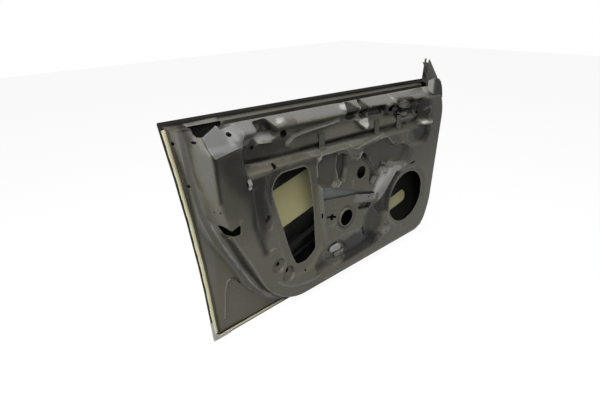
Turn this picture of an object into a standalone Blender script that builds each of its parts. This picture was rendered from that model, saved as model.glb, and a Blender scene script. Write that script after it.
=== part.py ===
"""Bare shell of a left front frameless car door, built from stamped and welded sheets.

Frame of the sizes below: x runs forward from the rear top corner of the outer skin, z runs up
from the bottom hem, and depth runs inboard from the skin's belt line, so depth is -y.
The finished door is moved so that the face of the upper hinge pad is the world origin.
"""
import math

import bmesh
import bpy
import numpy as np
from mathutils import Matrix, Vector, geometry

for existing in list(bpy.data.objects):
    bpy.data.objects.remove(existing, do_unlink=True)


# Driving dimensions of the whole door

DOOR_LENGTH = 1.180
BELT_HEIGHT_REAR = 0.682
BELT_HEIGHT_FRONT = 0.645
REAR_EDGE_LEAN = 0.045
LOWER_TUCK = 0.050
SIDE_BULGE = 0.045
PLAN_CROWN = 0.006
TRIM_DEPTH = 0.095

# Sheet and hem

SHEET = 0.0008
REINFORCEMENT_SHEET = 0.0012
WELD_GAP = 0.0003
HEM_RETURN = 0.0135
HEM_CORNER_RELIEF = 0.8

# Sections of the inner panel

RIM_START = 0.0155
RIM_RUN = 0.004
RIM_RISE = 0.006
LAND_DEPTH = 0.030
LAND_FOLLOWS_SKIN = 0.6
LAND_WIDTH = 0.018
LAND_WIDTH_BELOW = 0.005
LAND_DRAFT = 0.20
SHUT_FACE_DRAFT = 0.35
HINGE_FACE_DRAFT = 0.14
FACE_BOTTOM = 0.031

# Belt of the inner panel, measured down from the belt line

BELT_EDGE_DROP = 0.0214
BELT_EDGE_DEPTH = 0.045
BELT_NOSE_DROP = 0.048
BELT_NOSE_DEPTH = 0.087
CHANNEL_DEPTH = 0.064
CHANNEL_LOW_DROP = 0.1416
LEDGE_DROP = 0.1586
CHANNEL_REAR = 0.178
CHANNEL_FROM_FRONT = 0.155
CHANNEL_END_RUN = 0.022
SLOT_REAR = 0.046
SLOT_FROM_FRONT = 0.080

# Openings of the trim face

SPEAKER_RADIUS = 0.106
SPEAKER_FROM_FRONT = 0.241
SPEAKER_HEIGHT = 0.215
ROUND_HOLE_RADIUS = 0.032
ROUND_HOLE_X = 0.581
ROUND_HOLE_HEIGHT = 0.251

# Hinges, check strap and latch

HINGE_LOWER_HEIGHT = 0.205
HINGE_SPACING = 0.265
HINGE_PLATE = (0.070, 0.040)
HINGE_PLATE_THICKNESS = 0.004
HINGE_BOLT_SPACING = 0.044
HINGE_BOLT_HOLE = 0.0045
WELD_NUT_RADIUS = 0.0085
WELD_NUT_HEIGHT = 0.008
CHECK_STRAP_HEIGHT = 0.345
CHECK_STRAP_SLOT = (0.034, 0.016)
WIRING_HOLE_RADIUS = 0.018
WIRING_HOLE_HEIGHT = 0.405

# Beam, patches and belt reinforcements

BEAM_REAR_X = 0.172
BEAM_REAR_HEIGHT = 0.118
BEAM_SLOPE = 0.262
BEAM_HALF_WIDTH = 0.046
BEAM_RIDGE = 0.016
BEAM_SHEET = 0.0018
OUTER_STRIP_REAR = 0.172
RAIL_REAR = 0.200

# Mirror sail

SAIL_HEIGHT = 0.077
SAIL_FROM_FRONT = 0.070
SAIL_OUTER_DEPTH = 0.0045
SAIL_INNER_DEPTH = 0.0425
SAIL_STRIP_CLEARANCE = 0.0024

# Sealant bead

BEAD_INSET = 0.0055
BEAD_WIDTH = 0.007
BEAD_HEIGHT = 0.0028

BELT_SLOPE = (BELT_HEIGHT_FRONT - BELT_HEIGHT_REAR) / DOOR_LENGTH
FACE_TOP_MARGIN = 0.05

# Door size for which the pressed forms are drawn, and this door's size against it

DRAWN_LENGTH = 1.180
DRAWN_BELT_REAR = 0.682
DRAWN_BELT_FRONT = 0.645
DRAWN_BELT_SLOPE = (DRAWN_BELT_FRONT - DRAWN_BELT_REAR) / DRAWN_LENGTH
LENGTH_SHARE = DOOR_LENGTH / DRAWN_LENGTH
FRONT_SHARE = BELT_HEIGHT_FRONT / DRAWN_BELT_FRONT
ARC_STEP = math.radians(24.0)


def front(offset):
    """X of a place measured back from the door's foremost point."""
    return DOOR_LENGTH - offset


def belt_line(x):
    """Height of the skin's belt edge."""
    return BELT_HEIGHT_REAR + BELT_SLOPE * x


def drawn(x, z):
    """Place on this door of a point drawn on the door of the drawn size."""
    ahead = x * LENGTH_SHARE
    return ahead, z * (belt_line(ahead) / (DRAWN_BELT_REAR + DRAWN_BELT_SLOPE * x))


def skin_depth(x, z):
    """Depth of the skin's outer surface: bulged in the middle and tucked in below."""
    share = z / BELT_HEIGHT_REAR
    along = (x - DOOR_LENGTH / 2) / (DOOR_LENGTH / 2)
    section = LOWER_TUCK * (1 - share) ** 2 - SIDE_BULGE * share * (1 - share)
    return section - PLAN_CROWN * (1 - along ** 2)


def skin_seat(points):
    """Depth at which a sheet rests on the skin's inner side."""
    return skin_depth(points[:, 0], points[:, 1]) + SHEET + WELD_GAP


# Outlines, as arrays of (x, z)


def belt_run(start, end, drop):
    """Line parallel to the belt at a drop below it."""
    stations = np.linspace(start, end, max(2, round((end - start) / 0.12)))
    return np.array([(x, belt_line(x) - drop) for x in stations])


def rounded(corners, arc_step=ARC_STEP):
    """Closed outline whose corners (x, z, radius) are arcs."""
    outline = []
    count = len(corners)
    for index in range(count):
        before = Vector(corners[index - 1][:2])
        here = Vector(corners[index][:2])
        after = Vector(corners[(index + 1) % count][:2])
        radius = corners[index][2]
        back = (before - here).normalized()
        ahead = (after - here).normalized()
        turn = math.pi - back.angle(ahead)
        if radius <= 0 or turn < 0.01:
            outline.append(here)
            continue
        reach = radius * math.tan(turn / 2)
        limit = 0.49 * min((before - here).length, (after - here).length)
        if reach > limit:
            radius *= limit / reach
            reach = limit
        centre = here + (back + ahead).normalized() * radius / math.cos(turn / 2)
        spoke = here + back * reach - centre
        side = 1 if (-back).cross(ahead) > 0 else -1
        steps = max(1, round(turn / arc_step))
        for step in range(steps + 1):
            angle = side * turn * step / steps
            outline.append(centre + Matrix.Rotation(angle, 2) @ spoke)
    return np.array([tuple(point) for point in outline])


def pressed(corners, arc_step=ARC_STEP):
    """Rounded outline whose corners are drawn on the door of the drawn size."""
    return rounded([(*drawn(x, z), radius) for x, z, radius in corners], arc_step)


def ellipse(x, z, across, high, turn=0.0, steps=12):
    """Closed ellipse with its long axis turned by an angle in degrees."""
    angles = np.linspace(0, 2 * math.pi, steps, endpoint=False)
    flat = np.stack([across * np.cos(angles), high * np.sin(angles)], axis=1)
    cosine = math.cos(math.radians(turn))
    sine = math.sin(math.radians(turn))
    return flat @ np.array([[cosine, sine], [-sine, cosine]]) + (x, z)


def circle(x, z, radius, steps=12):
    """Closed circle."""
    return ellipse(x, z, radius, radius, 0.0, steps)


def subdivided(outline, spacing, closed=True):
    """The outline with points added so that none of its steps is longer than the spacing."""
    points = []
    count = len(outline)
    for index in range(count if closed else count - 1):
        start = outline[index]
        end = outline[(index + 1) % count]
        steps = max(1, math.ceil(np.linalg.norm(end - start) / spacing))
        points += [start + (end - start) * step / steps for step in range(steps)]
    if not closed:
        points.append(outline[-1])
    return np.array(points)


def normals(outline):
    """Outward unit normals at the points of a closed counterclockwise outline."""
    ahead = np.roll(outline, -1, axis=0) - outline
    ahead /= np.linalg.norm(ahead, axis=1)[:, None]
    behind = np.roll(ahead, 1, axis=0)
    tangent = ahead + behind
    tangent /= np.linalg.norm(tangent, axis=1)[:, None]
    stretch = 1 / np.clip((tangent * ahead).sum(axis=1), 0.5, 1)
    return np.stack([tangent[:, 1], -tangent[:, 0]], axis=1) * stretch[:, None]


def offset(outline, distance):
    """Closed counterclockwise outline moved outward by a distance, or by one for each point."""
    return outline + normals(outline) * np.reshape(distance, (-1, 1))


def inside(points, outline):
    """Whether each point lies inside a closed outline."""
    x = points[:, 0][:, None]
    z = points[:, 1][:, None]
    x0, z0 = outline[:, 0][None], outline[:, 1][None]
    x1, z1 = np.roll(outline, -1, axis=0).T[:, None, :]
    crosses = (z0 > z) != (z1 > z)
    height = np.where(z1 == z0, 1.0, z1 - z0)
    at = x0 + (z - z0) * (x1 - x0) / height
    return (crosses & (x < at)).sum(axis=1) % 2 == 1


def signed_distance(points, outline):
    """Distance to a closed outline, negative inside it."""
    start = outline[None]
    along = np.roll(outline, -1, axis=0)[None] - start
    rel = points[:, None, :] - start
    share = np.clip((rel * along).sum(-1) / np.maximum((along ** 2).sum(-1), 1e-12), 0, 1)
    gap = np.sqrt(((rel - share[..., None] * along) ** 2).sum(-1)).min(axis=1)
    return np.where(inside(points, outline), -gap, gap)


def counterclockwise(outline):
    """The outline turned so that it runs counterclockwise."""
    following = np.roll(outline, -1, axis=0)
    area = (outline[:, 0] * following[:, 1] - following[:, 0] * outline[:, 1]).sum()
    return outline if area > 0 else outline[::-1]


def ramp(value):
    """Value held between 0 and 1."""
    return np.clip(value, 0.0, 1.0)


# The door's main outlines


def skin_outline():
    """Edge of the outer skin, counterclockwise seen from the cabin."""
    top_front = front(0.015)
    corners = [
        (0.0, belt_line(0.0), 0.004),
        (*drawn(0.034, 0.46), 1.5),
        (REAR_EDGE_LEAN + 0.005, 0.21, 1.0),
        (REAR_EDGE_LEAN, 0.0, 0.008),
        (front(0.040), 0.0, 0.030),
        (front(0.008), 0.16, 0.40),
        (front(0.0), 0.36, 0.80),
        (top_front, belt_line(top_front), 0.010),
    ]
    outline = rounded(corners, math.radians(30.0))
    return subdivided(outline, 0.046)


def face_outline():
    """Edge of the trim face, where the shut face, the bottom and the hinge face begin."""
    top_rear = 0.070
    top_front = front(0.120)
    corners = [
        (top_rear, belt_line(top_rear) + FACE_TOP_MARGIN, 0),
        (0.088, belt_line(0.088) - 0.149, 0.25),
        (*drawn(0.104, 0.420), 0.20),
        (*drawn(0.130, 0.335), 0.25),
        (*drawn(0.186, 0.222), 0.30),
        (*drawn(0.228, 0.115), 0.22),
        (0.325, FACE_BOTTOM, 0.16),
        (front(0.112), FACE_BOTTOM, 0.10),
        (front(0.072), 0.145 * FRONT_SHARE, 0.20),
        (front(0.0455), belt_line(front(0.0455)) - 0.0995, 0.15),
        (top_front, belt_line(top_front) + FACE_TOP_MARGIN, 0),
    ]
    return subdivided(rounded(corners, math.radians(12.0)), 0.075)


SKIN = skin_outline()
FACE = face_outline()


def land_level(x, z):
    """Depth of the seal land between the hem and the trim face."""
    return LAND_DEPTH + LAND_FOLLOWS_SKIN * skin_depth(x, z)


def draft_at(outward):
    """Run of a wall for each metre of its depth, steeper on the hinge side."""
    share = ramp(outward[:, 0] * 1.6)
    return SHUT_FACE_DRAFT + (HINGE_FACE_DRAFT - SHUT_FACE_DRAFT) * share


def face_foot_outline():
    """Foot of the walls round the trim face, on the land."""
    outward = normals(FACE)
    drop = TRIM_DEPTH - land_level(FACE[:, 0], FACE[:, 1])
    return offset(FACE, draft_at(outward) * drop)


FACE_FOOT = face_foot_outline()


def land_outline():
    """Outer edge of the land."""
    outward = normals(FACE_FOOT)
    width = LAND_WIDTH + (LAND_WIDTH_BELOW - LAND_WIDTH) * ramp(-outward[:, 1] * 2 - 0.9)
    return offset(FACE_FOOT, width)


LAND = land_outline()
LAND_FOOT = offset(LAND, LAND_DRAFT * LAND_DEPTH)


# Forms stamped in the trim face: each has an outline, a rise toward the cabin and a wall run

SPEAKER_X = front(SPEAKER_FROM_FRONT)


def trim_forms():
    """List of (outline, rise, wall run, tilt), where tilt adds rise per metre along x and z."""
    level = (0.0, 0.0)
    return [
        # Flange sunk round the rear opening
        (pressed([(0.236, 0.520, 0.07), (0.325, 0.125, 0.06), (0.405, 0.122, 0.05),
                  (0.462, 0.180, 0.05), (0.446, 0.520, 0.05)]), -0.005, 0.010, level),
        # Raised pillar between the rear opening and the middle
        (pressed([(0.447, 0.500, 0.005), (0.452, 0.330, 0.05), (0.476, 0.185, 0.008),
                  (0.492, 0.185, 0.008), (0.468, 0.330, 0.05), (0.460, 0.500, 0.005)]),
         0.005, 0.006, level),
        # Sunk pocket with two dimples in the upper middle
        (pressed([(0.466, 0.490, 0.012), (0.464, 0.402, 0.012), (0.527, 0.398, 0.012),
                  (0.534, 0.490, 0.012)]), -0.010, 0.007, level),
        # Deep recess in front of the plate, under the wavy ledge
        (pressed([(0.668, 0.478, 0.02), (0.690, 0.440, 0.02), (0.692, 0.398, 0.02),
                  (0.730, 0.372, 0.03), (0.790, 0.388, 0.02), (0.880, 0.392, 0.02),
                  (0.900, 0.440, 0.03), (0.835, 0.446, 0.03), (0.785, 0.486, 0.03)]),
         -0.014, 0.010, level),
        # Sunk ground in front of it, beside the upper hinge
        (pressed([(0.925, 0.485, 0.02), (0.915, 0.420, 0.03), (1.005, 0.405, 0.03),
                  (1.045, 0.440, 0.03), (1.045, 0.485, 0.02)]), -0.012, 0.012, level),
        # Ground behind the speaker ridge
        (pressed([(0.705, 0.352, 0.02), (0.700, 0.270, 0.03), (0.722, 0.235, 0.02),
                  (0.760, 0.245, 0.03), (0.800, 0.330, 0.08), (0.925, 0.362, 0.02),
                  (0.905, 0.380, 0.02), (0.800, 0.385, 0.02)]), -0.012, 0.014, level),
        # Raised land round the speaker
        (circle(SPEAKER_X, SPEAKER_HEIGHT, SPEAKER_RADIUS + 0.024, 28), 0.004, 0.006, level),
        # Raised collar of the round hole, in its moat
        (circle(*drawn(ROUND_HOLE_X + 0.006, ROUND_HOLE_HEIGHT - 0.006), 0.043, 16),
         -0.005, 0.008, level),
        (circle(*drawn(ROUND_HOLE_X, ROUND_HOLE_HEIGHT), ROUND_HOLE_RADIUS + 0.002, 16),
         0.008, 0.004, level),
        # Disc with the cross-shaped slot
        (ellipse(*drawn(0.508, 0.272), 0.034, 0.028, 0, 14), -0.003, 0.005, level),
        # Broad hollow at the bottom, deeper toward the sill
        (pressed([(0.425, 0.088, 0.02), (0.470, 0.150, 0.04), (0.560, 0.178, 0.08),
                  (0.690, 0.165, 0.05), (0.752, 0.092, 0.02)]), -0.010, 0.012, (0.0, 0.14)),
        # Cup for the pad
        (pressed([(0.494, 0.115, 0.03), (0.520, 0.086, 0.03), (0.585, 0.080, 0.02),
                  (0.598, 0.120, 0.03), (0.560, 0.162, 0.03), (0.505, 0.160, 0.03)]),
         -0.006, 0.005, level),
        # Oval boss near the sill
        (ellipse(*drawn(0.802, 0.117), 0.030, 0.015, 5, 14), 0.006, 0.006, level),
        # Round dishes on the rear strip
        (circle(*drawn(0.275, 0.187), 0.019, 12), -0.005, 0.004, level),
        (circle(*drawn(0.317, 0.138), 0.020, 12), -0.005, 0.004, level),
        (circle(*drawn(0.259, 0.244), 0.012, 10), 0.003, 0.006, level),
        (ellipse(*drawn(0.250, 0.353), 0.013, 0.026, 0, 12), -0.004, 0.004, level),
        # Shut ridge down the rear strip
        (pressed([(0.205, 0.470, 0.02), (0.218, 0.300, 0.05), (0.226, 0.300, 0.05),
                  (0.222, 0.470, 0.02)]), -0.004, 0.008, level),
        # Double arch and boss in the belt channel
        (pressed([(0.572, 0.592, 0.01), (0.660, 0.590, 0.01), (0.660, 0.620, 0.02),
                  (0.640, 0.632, 0.02), (0.600, 0.634, 0.02), (0.572, 0.618, 0.02)]),
         0.016, 0.008, level),
        (circle(*drawn(0.800, 0.588), 0.022, 14), 0.012, 0.008, level),
        (ellipse(*drawn(0.880, 0.582), 0.026, 0.016, 0, 12), 0.014, 0.008, level),
        # Step plate at the front of the channel
        (pressed([(0.962, 0.560, 0.01), (0.962, 0.525, 0.01), (1.018, 0.525, 0.01),
                  (1.018, 0.560, 0.01)]), 0.012, 0.008, level),
    ]


FORMS = [(counterclockwise(form[0]), *form[1:]) for form in trim_forms()]


def belt_profile(drop, steps):
    """Depth against the drop below the belt line, read between (drop, depth) steps."""
    drops = [step[0] for step in steps]
    depths = [step[1] for step in steps]
    return np.interp(drop, drops, depths)


SLOPE_STEPS = [
    (BELT_EDGE_DROP, BELT_EDGE_DEPTH),
    (BELT_NOSE_DROP - 0.007, BELT_NOSE_DEPTH - 0.004),
    (BELT_NOSE_DROP, BELT_NOSE_DEPTH),
    (BELT_NOSE_DROP + 0.008, TRIM_DEPTH),
]
STAIR_STEPS = [
    (BELT_EDGE_DROP - 0.003, BELT_EDGE_DEPTH + 0.007),
    (0.045, 0.066),
    (0.050, 0.074),
    (0.075, 0.083),
    (0.080, 0.091),
    (0.098, TRIM_DEPTH),
]
CHANNEL_STEPS = [
    (BELT_NOSE_DROP, BELT_NOSE_DEPTH),
    (0.066, CHANNEL_DEPTH + 0.006),
    (0.075, CHANNEL_DEPTH + 0.010),
    (0.095, CHANNEL_DEPTH + 0.002),
    (0.1215, CHANNEL_DEPTH + 0.006),
    (CHANNEL_LOW_DROP, CHANNEL_DEPTH - 0.002),
    (LEDGE_DROP, TRIM_DEPTH),
]
STAIR_END = 0.150
STAIR_BLEND = 0.020


def face_level(points):
    """Depth of the trim face with its belt, channel and stamped forms."""
    x = points[:, 0]
    drop = belt_line(x) - points[:, 1]
    stairs = 1 - ramp((x - STAIR_END) / STAIR_BLEND)
    level = belt_profile(drop, SLOPE_STEPS) * (1 - stairs)
    level += belt_profile(drop, STAIR_STEPS) * stairs
    channel = np.minimum(belt_profile(drop, CHANNEL_STEPS), TRIM_DEPTH)
    along = ramp((x - CHANNEL_REAR) / CHANNEL_END_RUN)
    along *= ramp((front(CHANNEL_FROM_FRONT) - x) / CHANNEL_END_RUN)
    within = ramp((drop - BELT_NOSE_DROP) / 0.001)
    level += (channel - level) * along * within
    for outline, rise, wall, tilt in FORMS:
        near = 1 - ramp(signed_distance(points, outline) / wall)
        middle = outline.mean(axis=0)
        level += near * (rise + (points - middle) @ np.array(tilt))
    return level


def panel_depth(points):
    """Depth of the inner panel's cabin side."""
    x, z = points[:, 0], points[:, 1]
    inset = -signed_distance(points, SKIN)
    rise = ramp((inset - RIM_START) / RIM_RUN)
    flange = skin_depth(x, z) + 2 * SHEET + WELD_GAP
    land = 1 - ramp(signed_distance(points, LAND) / (LAND_DRAFT * LAND_DEPTH))
    to_face = signed_distance(points, FACE)
    to_foot = signed_distance(points, FACE_FOOT)
    wall = np.where(to_face <= 0, 1.0, ramp(-to_foot / np.maximum(to_face - to_foot, 1e-6)))
    wall = np.where(to_foot >= 0, 0.0, wall)
    outer = flange + rise * (RIM_RISE + land * (land_level(x, z) - flange - RIM_RISE))
    return outer + (face_level(points) - outer) * wall * rise


# Sheet solids


def triangulated(boundary, holes, creases, fill):
    """Triangles between a boundary and its holes that follow every crease line."""
    points = []
    edges = []

    def add(line, closed):
        first = len(points)
        points.extend(Vector(point) for point in line)
        last = len(points) - 1
        edges.extend((index, index + 1) for index in range(first, last))
        if closed:
            edges.append((last, first))

    add(boundary, True)
    for hole in holes:
        add(hole, True)
    wall_count = len(edges)
    for line, closed in creases:
        add(line, closed)
    for point in fill:
        points.append(Vector(point))
    found = geometry.delaunay_2d_cdt(points, edges, [], 0, 2e-5, True)
    corners = np.array([tuple(point) for point in found[0]])
    triangles = np.array([face for face in found[2] if len(face) == 3])
    walls = {frozenset(edge) for edge, sources in zip(found[1], found[4])
             if any(source < wall_count for source in sources)}
    fields, outer = connected_fields(triangles, walls)
    sides = corners[triangles]
    first = sides[:, 1] - sides[:, 0]
    second = sides[:, 2] - sides[:, 0]
    area = np.abs(first[:, 0] * second[:, 1] - first[:, 1] * second[:, 0])
    keep = np.zeros(len(triangles), dtype=bool)
    for field in np.unique(fields):
        members = np.flatnonzero(fields == field)
        largest = members[np.argmax(area[members])]
        middle = sides[largest].mean(axis=0)[None]
        pierced = any(inside(middle, hole)[0] for hole in holes)
        keep[members] = field not in outer and inside(middle, boundary)[0] and not pierced
    triangles = triangles[keep]
    used, renumbered = np.unique(triangles, return_inverse=True)
    return corners[used], renumbered.reshape(-1, 3)


def connected_fields(triangles, walls):
    """Number of the walled field that each triangle is in, and the fields open to outside."""
    across = {}
    for index, (a, b, c) in enumerate(triangles):
        for edge in (frozenset((a, b)), frozenset((b, c)), frozenset((c, a))):
            across.setdefault(edge, []).append(index)
    fields = np.full(len(triangles), -1)
    for seed in range(len(triangles)):
        if fields[seed] >= 0:
            continue
        fields[seed] = seed
        waiting = [seed]
        while waiting:
            a, b, c = triangles[waiting.pop()]
            for edge in (frozenset((a, b)), frozenset((b, c)), frozenset((c, a))):
                if edge in walls:
                    continue
                for neighbour in across[edge]:
                    if fields[neighbour] < 0:
                        fields[neighbour] = seed
                        waiting.append(neighbour)
    outer = {fields[sides[0]] for edge, sides in across.items()
             if len(sides) == 1 and edge not in walls}
    return fields, outer


STEEPEST = 6.0


def slope_factor(corners, depths, triangles):
    """How much longer a step along y is than the sheet's thickness at each corner."""
    xyz = np.column_stack([corners[:, 0], -depths, corners[:, 1]])
    sides = xyz[triangles]
    normal = np.cross(sides[:, 1] - sides[:, 0], sides[:, 2] - sides[:, 0])
    size = np.linalg.norm(normal, axis=1)
    factor = np.minimum(size / np.maximum(np.abs(normal[:, 1]), 1e-12), STEEPEST)
    total = np.zeros(len(corners))
    share = np.zeros(len(corners))
    for column in range(3):
        np.add.at(total, triangles[:, column], factor)
        np.add.at(share, triangles[:, column], 1.0)
    return total / share


def add_piece(name, corners, faces, material, smooth_angle=None):
    """Mesh object from corner places and faces, with its faces turned outward."""
    mesh = bpy.data.meshes.new(name)
    mesh.from_pydata([tuple(corner) for corner in corners], [], [tuple(face) for face in faces])
    solid = bmesh.new()
    solid.from_mesh(mesh)
    bmesh.ops.recalc_face_normals(solid, faces=solid.faces)
    solid.to_mesh(mesh)
    solid.free()
    mesh.materials.append(material)
    if smooth_angle is not None:
        mesh.shade_smooth()
        mesh.set_sharp_from_angle(angle=smooth_angle)
    piece = bpy.data.objects.new(name, mesh)
    bpy.context.collection.objects.link(piece)
    piece.parent = DATUM
    return piece


def add_sheet(name, boundary, depth, thickness, material, holes=(), creases=(), fill=(),
              back=None):
    """Closed sheet whose cabin side is at depth(points), with its thickness toward the skin."""
    corners, triangles = triangulated(boundary, list(holes), list(creases), fill)
    near = depth(corners)
    far = near - thickness * slope_factor(corners, near, triangles)
    far = np.maximum(far, skin_seat(corners))
    if back is not None:
        far = back(corners)
    count = len(corners)
    xyz = [(x, -d, z) for (x, z), d in zip(corners, near)]
    xyz += [(x, -d, z) for (x, z), d in zip(corners, far)]
    faces = [tuple(int(i) for i in face) for face in triangles]
    borders = {}
    for a, b, c in faces:
        for edge in ((a, b), (b, c), (c, a)):
            borders[edge] = True
    rims = [(b, a, a + count, b + count) for a, b in borders if (b, a) not in borders]
    backs = [(c + count, b + count, a + count) for a, b, c in faces]
    return add_piece(name, xyz, faces + backs + rims, material, math.radians(30))


def add_material(name, colour, roughness, metallic=0.0):
    """Principled material of one piece."""
    material = bpy.data.materials.new(name)
    material.use_nodes = True
    shader = material.node_tree.nodes["Principled BSDF"]
    shader.inputs["Base Color"].default_value = (*colour, 1.0)
    shader.inputs["Roughness"].default_value = roughness
    shader.inputs["Metallic"].default_value = metallic
    return material


def add_cutter(name, mesh):
    """Guide that only cuts other pieces."""
    cutter = bpy.data.objects.new(name, mesh)
    bpy.context.collection.objects.link(cutter)
    cutter.parent = DATUM
    cutter.hide_render = True
    cutter.display_type = "WIRE"
    return cutter


def cut(piece, cutter):
    """Take the cutter's volume out of a piece."""
    modifier = piece.modifiers.new(cutter.name, "BOOLEAN")
    modifier.operation = "DIFFERENCE"
    modifier.object = cutter


def box_mesh(name, size):
    """Box of a full size round its own origin."""
    mesh = bpy.data.meshes.new(name)
    solid = bmesh.new()
    bmesh.ops.create_cube(solid, size=1.0)
    bmesh.ops.scale(solid, vec=Vector(size), verts=solid.verts)
    solid.to_mesh(mesh)
    solid.free()
    return mesh


def rod_mesh(name, radius, length, sides):
    """Cylinder or prism along its own x axis, round its origin."""
    mesh = bpy.data.meshes.new(name)
    solid = bmesh.new()
    bmesh.ops.create_cone(solid, cap_ends=True, segments=sides, radius1=radius,
                          radius2=radius, depth=length)
    bmesh.ops.rotate(solid, verts=solid.verts, matrix=Matrix.Rotation(math.pi / 2, 3, "Y"))
    solid.to_mesh(mesh)
    solid.free()
    return mesh


# Datum: the face of the upper hinge pad


def hinge_wall():
    """Origin, forward normal and rise of the flat hinge wall, with its depth direction."""
    low = FACE[np.argmin(np.hypot(*(FACE - (front(0.070), 0.19 * FRONT_SHARE)).T))]
    top = FACE[np.argmin(np.hypot(*(FACE - (front(0.050), 0.50 * FRONT_SHARE)).T))]
    low_foot = FACE_FOOT[np.argmin(np.hypot(FACE[:, 0] - low[0], FACE[:, 1] - low[1]))]
    start = Vector((low[0], -TRIM_DEPTH, low[1]))
    rise = (Vector((top[0], -TRIM_DEPTH, top[1])) - start).normalized()
    foot = Vector((low_foot[0], -land_level(*low_foot), low_foot[1])) - start
    outboard = (foot - rise * foot.dot(rise)).normalized()
    normal = outboard.cross(rise).normalized()
    if normal.x < 0:
        normal = -normal
    return start, normal, rise, outboard


WALL_START, WALL_NORMAL, WALL_RISE, WALL_OUTBOARD = hinge_wall()
PAD_OUTBOARD = 0.034


def on_hinge_wall(height, outboard=PAD_OUTBOARD):
    """Place on the hinge wall's outer face, at a height given for the drawn belt."""
    rise = height * FRONT_SHARE
    climb = (rise - WALL_START.z - WALL_OUTBOARD.z * outboard) / WALL_RISE.z
    return WALL_START + WALL_RISE * climb + WALL_OUTBOARD * outboard


HINGE_LOWER = on_hinge_wall(HINGE_LOWER_HEIGHT)
HINGE_UPPER = on_hinge_wall(HINGE_LOWER_HEIGHT + HINGE_SPACING)
DATUM = bpy.data.objects.new("datum", None)
bpy.context.collection.objects.link(DATUM)
DATUM.location = -HINGE_UPPER
WALL_FRAME = Matrix((WALL_NORMAL, WALL_OUTBOARD, WALL_RISE)).transposed().to_4x4()


# Outer skin

SKIN_COLUMN = 0.110
SKIN_ROWS = 17


def outer_skin():
    """Outer sheet with its edge folded back round the panel's flange."""
    material = add_material("skin_black", (0.018, 0.018, 0.017), 0.45)
    columns = np.arange(0.06, DOOR_LENGTH - 0.03, SKIN_COLUMN)
    shares = np.arange(1, SKIN_ROWS) / SKIN_ROWS
    fill = np.array([(x, belt_line(x) * share) for x in columns for share in shares])
    fill = fill[signed_distance(fill, SKIN) < -0.018]
    corners, triangles = triangulated(SKIN, [], [], fill)
    count = len(corners)
    depths = skin_depth(corners[:, 0], corners[:, 1])
    rim = {}
    for index in range(len(SKIN)):
        rim[index] = int(np.argmin(np.hypot(*(corners - SKIN[index]).T)))
    inward = -normals(SKIN)
    sharp = np.array([(0.0, belt_line(0.0)), (REAR_EDGE_LEAN, 0.0), (front(0.040), 0.0),
                      (front(0.015), belt_line(front(0.015)))])
    away = np.linalg.norm(SKIN[:, None] - sharp[None], axis=2).min(axis=1)
    width = np.clip(HEM_CORNER_RELIEF * away, 2.2 * SHEET, HEM_RETURN)
    places = [(x, -d, z) for (x, z), d in zip(corners, depths)]
    faces = [tuple(int(i) for i in face) for face in triangles]
    inner = corners.copy()
    for index, corner in rim.items():
        inner[corner] = SKIN[index] + inward[index] * SHEET
    inner_depths = skin_depth(inner[:, 0], inner[:, 1]) + SHEET
    places += [(x, -d, z) for (x, z), d in zip(inner, inner_depths)]
    faces += [tuple(int(i) + count for i in reversed(face)) for face in triangles]
    hem = 3 * SHEET + 2 * WELD_GAP
    sections = [(0.0 * width, hem), (width, hem), (width, hem - SHEET),
                (SHEET + 0.0 * width, hem - SHEET)]
    rings = [[rim[index] for index in range(len(SKIN))]]
    for inset, depth in sections:
        line = SKIN + inward * inset[:, None]
        line_depth = skin_depth(line[:, 0], line[:, 1]) + depth
        rings.append(list(range(len(places), len(places) + len(SKIN))))
        places += [(x, -d, z) for (x, z), d in zip(line, line_depth)]
    rings.append([rim[index] + count for index in range(len(SKIN))])
    for one, two in zip(rings, rings[1:]):
        for index in range(len(SKIN)):
            after = (index + 1) % len(SKIN)
            faces.append((one[index], one[after], two[after], two[index]))
    add_piece("outer_skin", places, faces, material, math.radians(30))


# Inner panel


def panel_boundary():
    """Edge of the inner panel: inside the hem, and down along the window slot."""
    gap = SHEET + WELD_GAP + 0.0002
    slot_front = front(SLOT_FROM_FRONT)
    slot = [
        (slot_front + 0.030, gap),
        (slot_front + 0.026, 0.0150),
        (slot_front + 0.010, 0.0240),
        (slot_front - 0.030, BELT_EDGE_DROP),
    ]
    stations = np.linspace(slot_front - 0.11, STAIR_END + 0.030, 8)
    slot += [(x, BELT_EDGE_DROP) for x in stations]
    slot += [
        (0.130, 0.0215),
        (0.083, 0.0330),
        (0.062, 0.0370),
        (SLOT_REAR + 0.004, 0.0290),
        (SLOT_REAR, gap),
    ]
    slot = [np.array((x, belt_line(x) - drop)) for x, drop in slot]
    hem = offset(SKIN, -gap)
    first = int(np.argmin(np.linalg.norm(hem - slot[-1], axis=1)))
    hem = np.roll(hem, -first, axis=0)
    hem = [point for point in hem
           if not (SLOT_REAR - 0.002 < point[0] < slot_front + 0.031
                   and point[1] > belt_line(point[0]) - 0.012)]
    return np.array(hem + slot)


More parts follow.
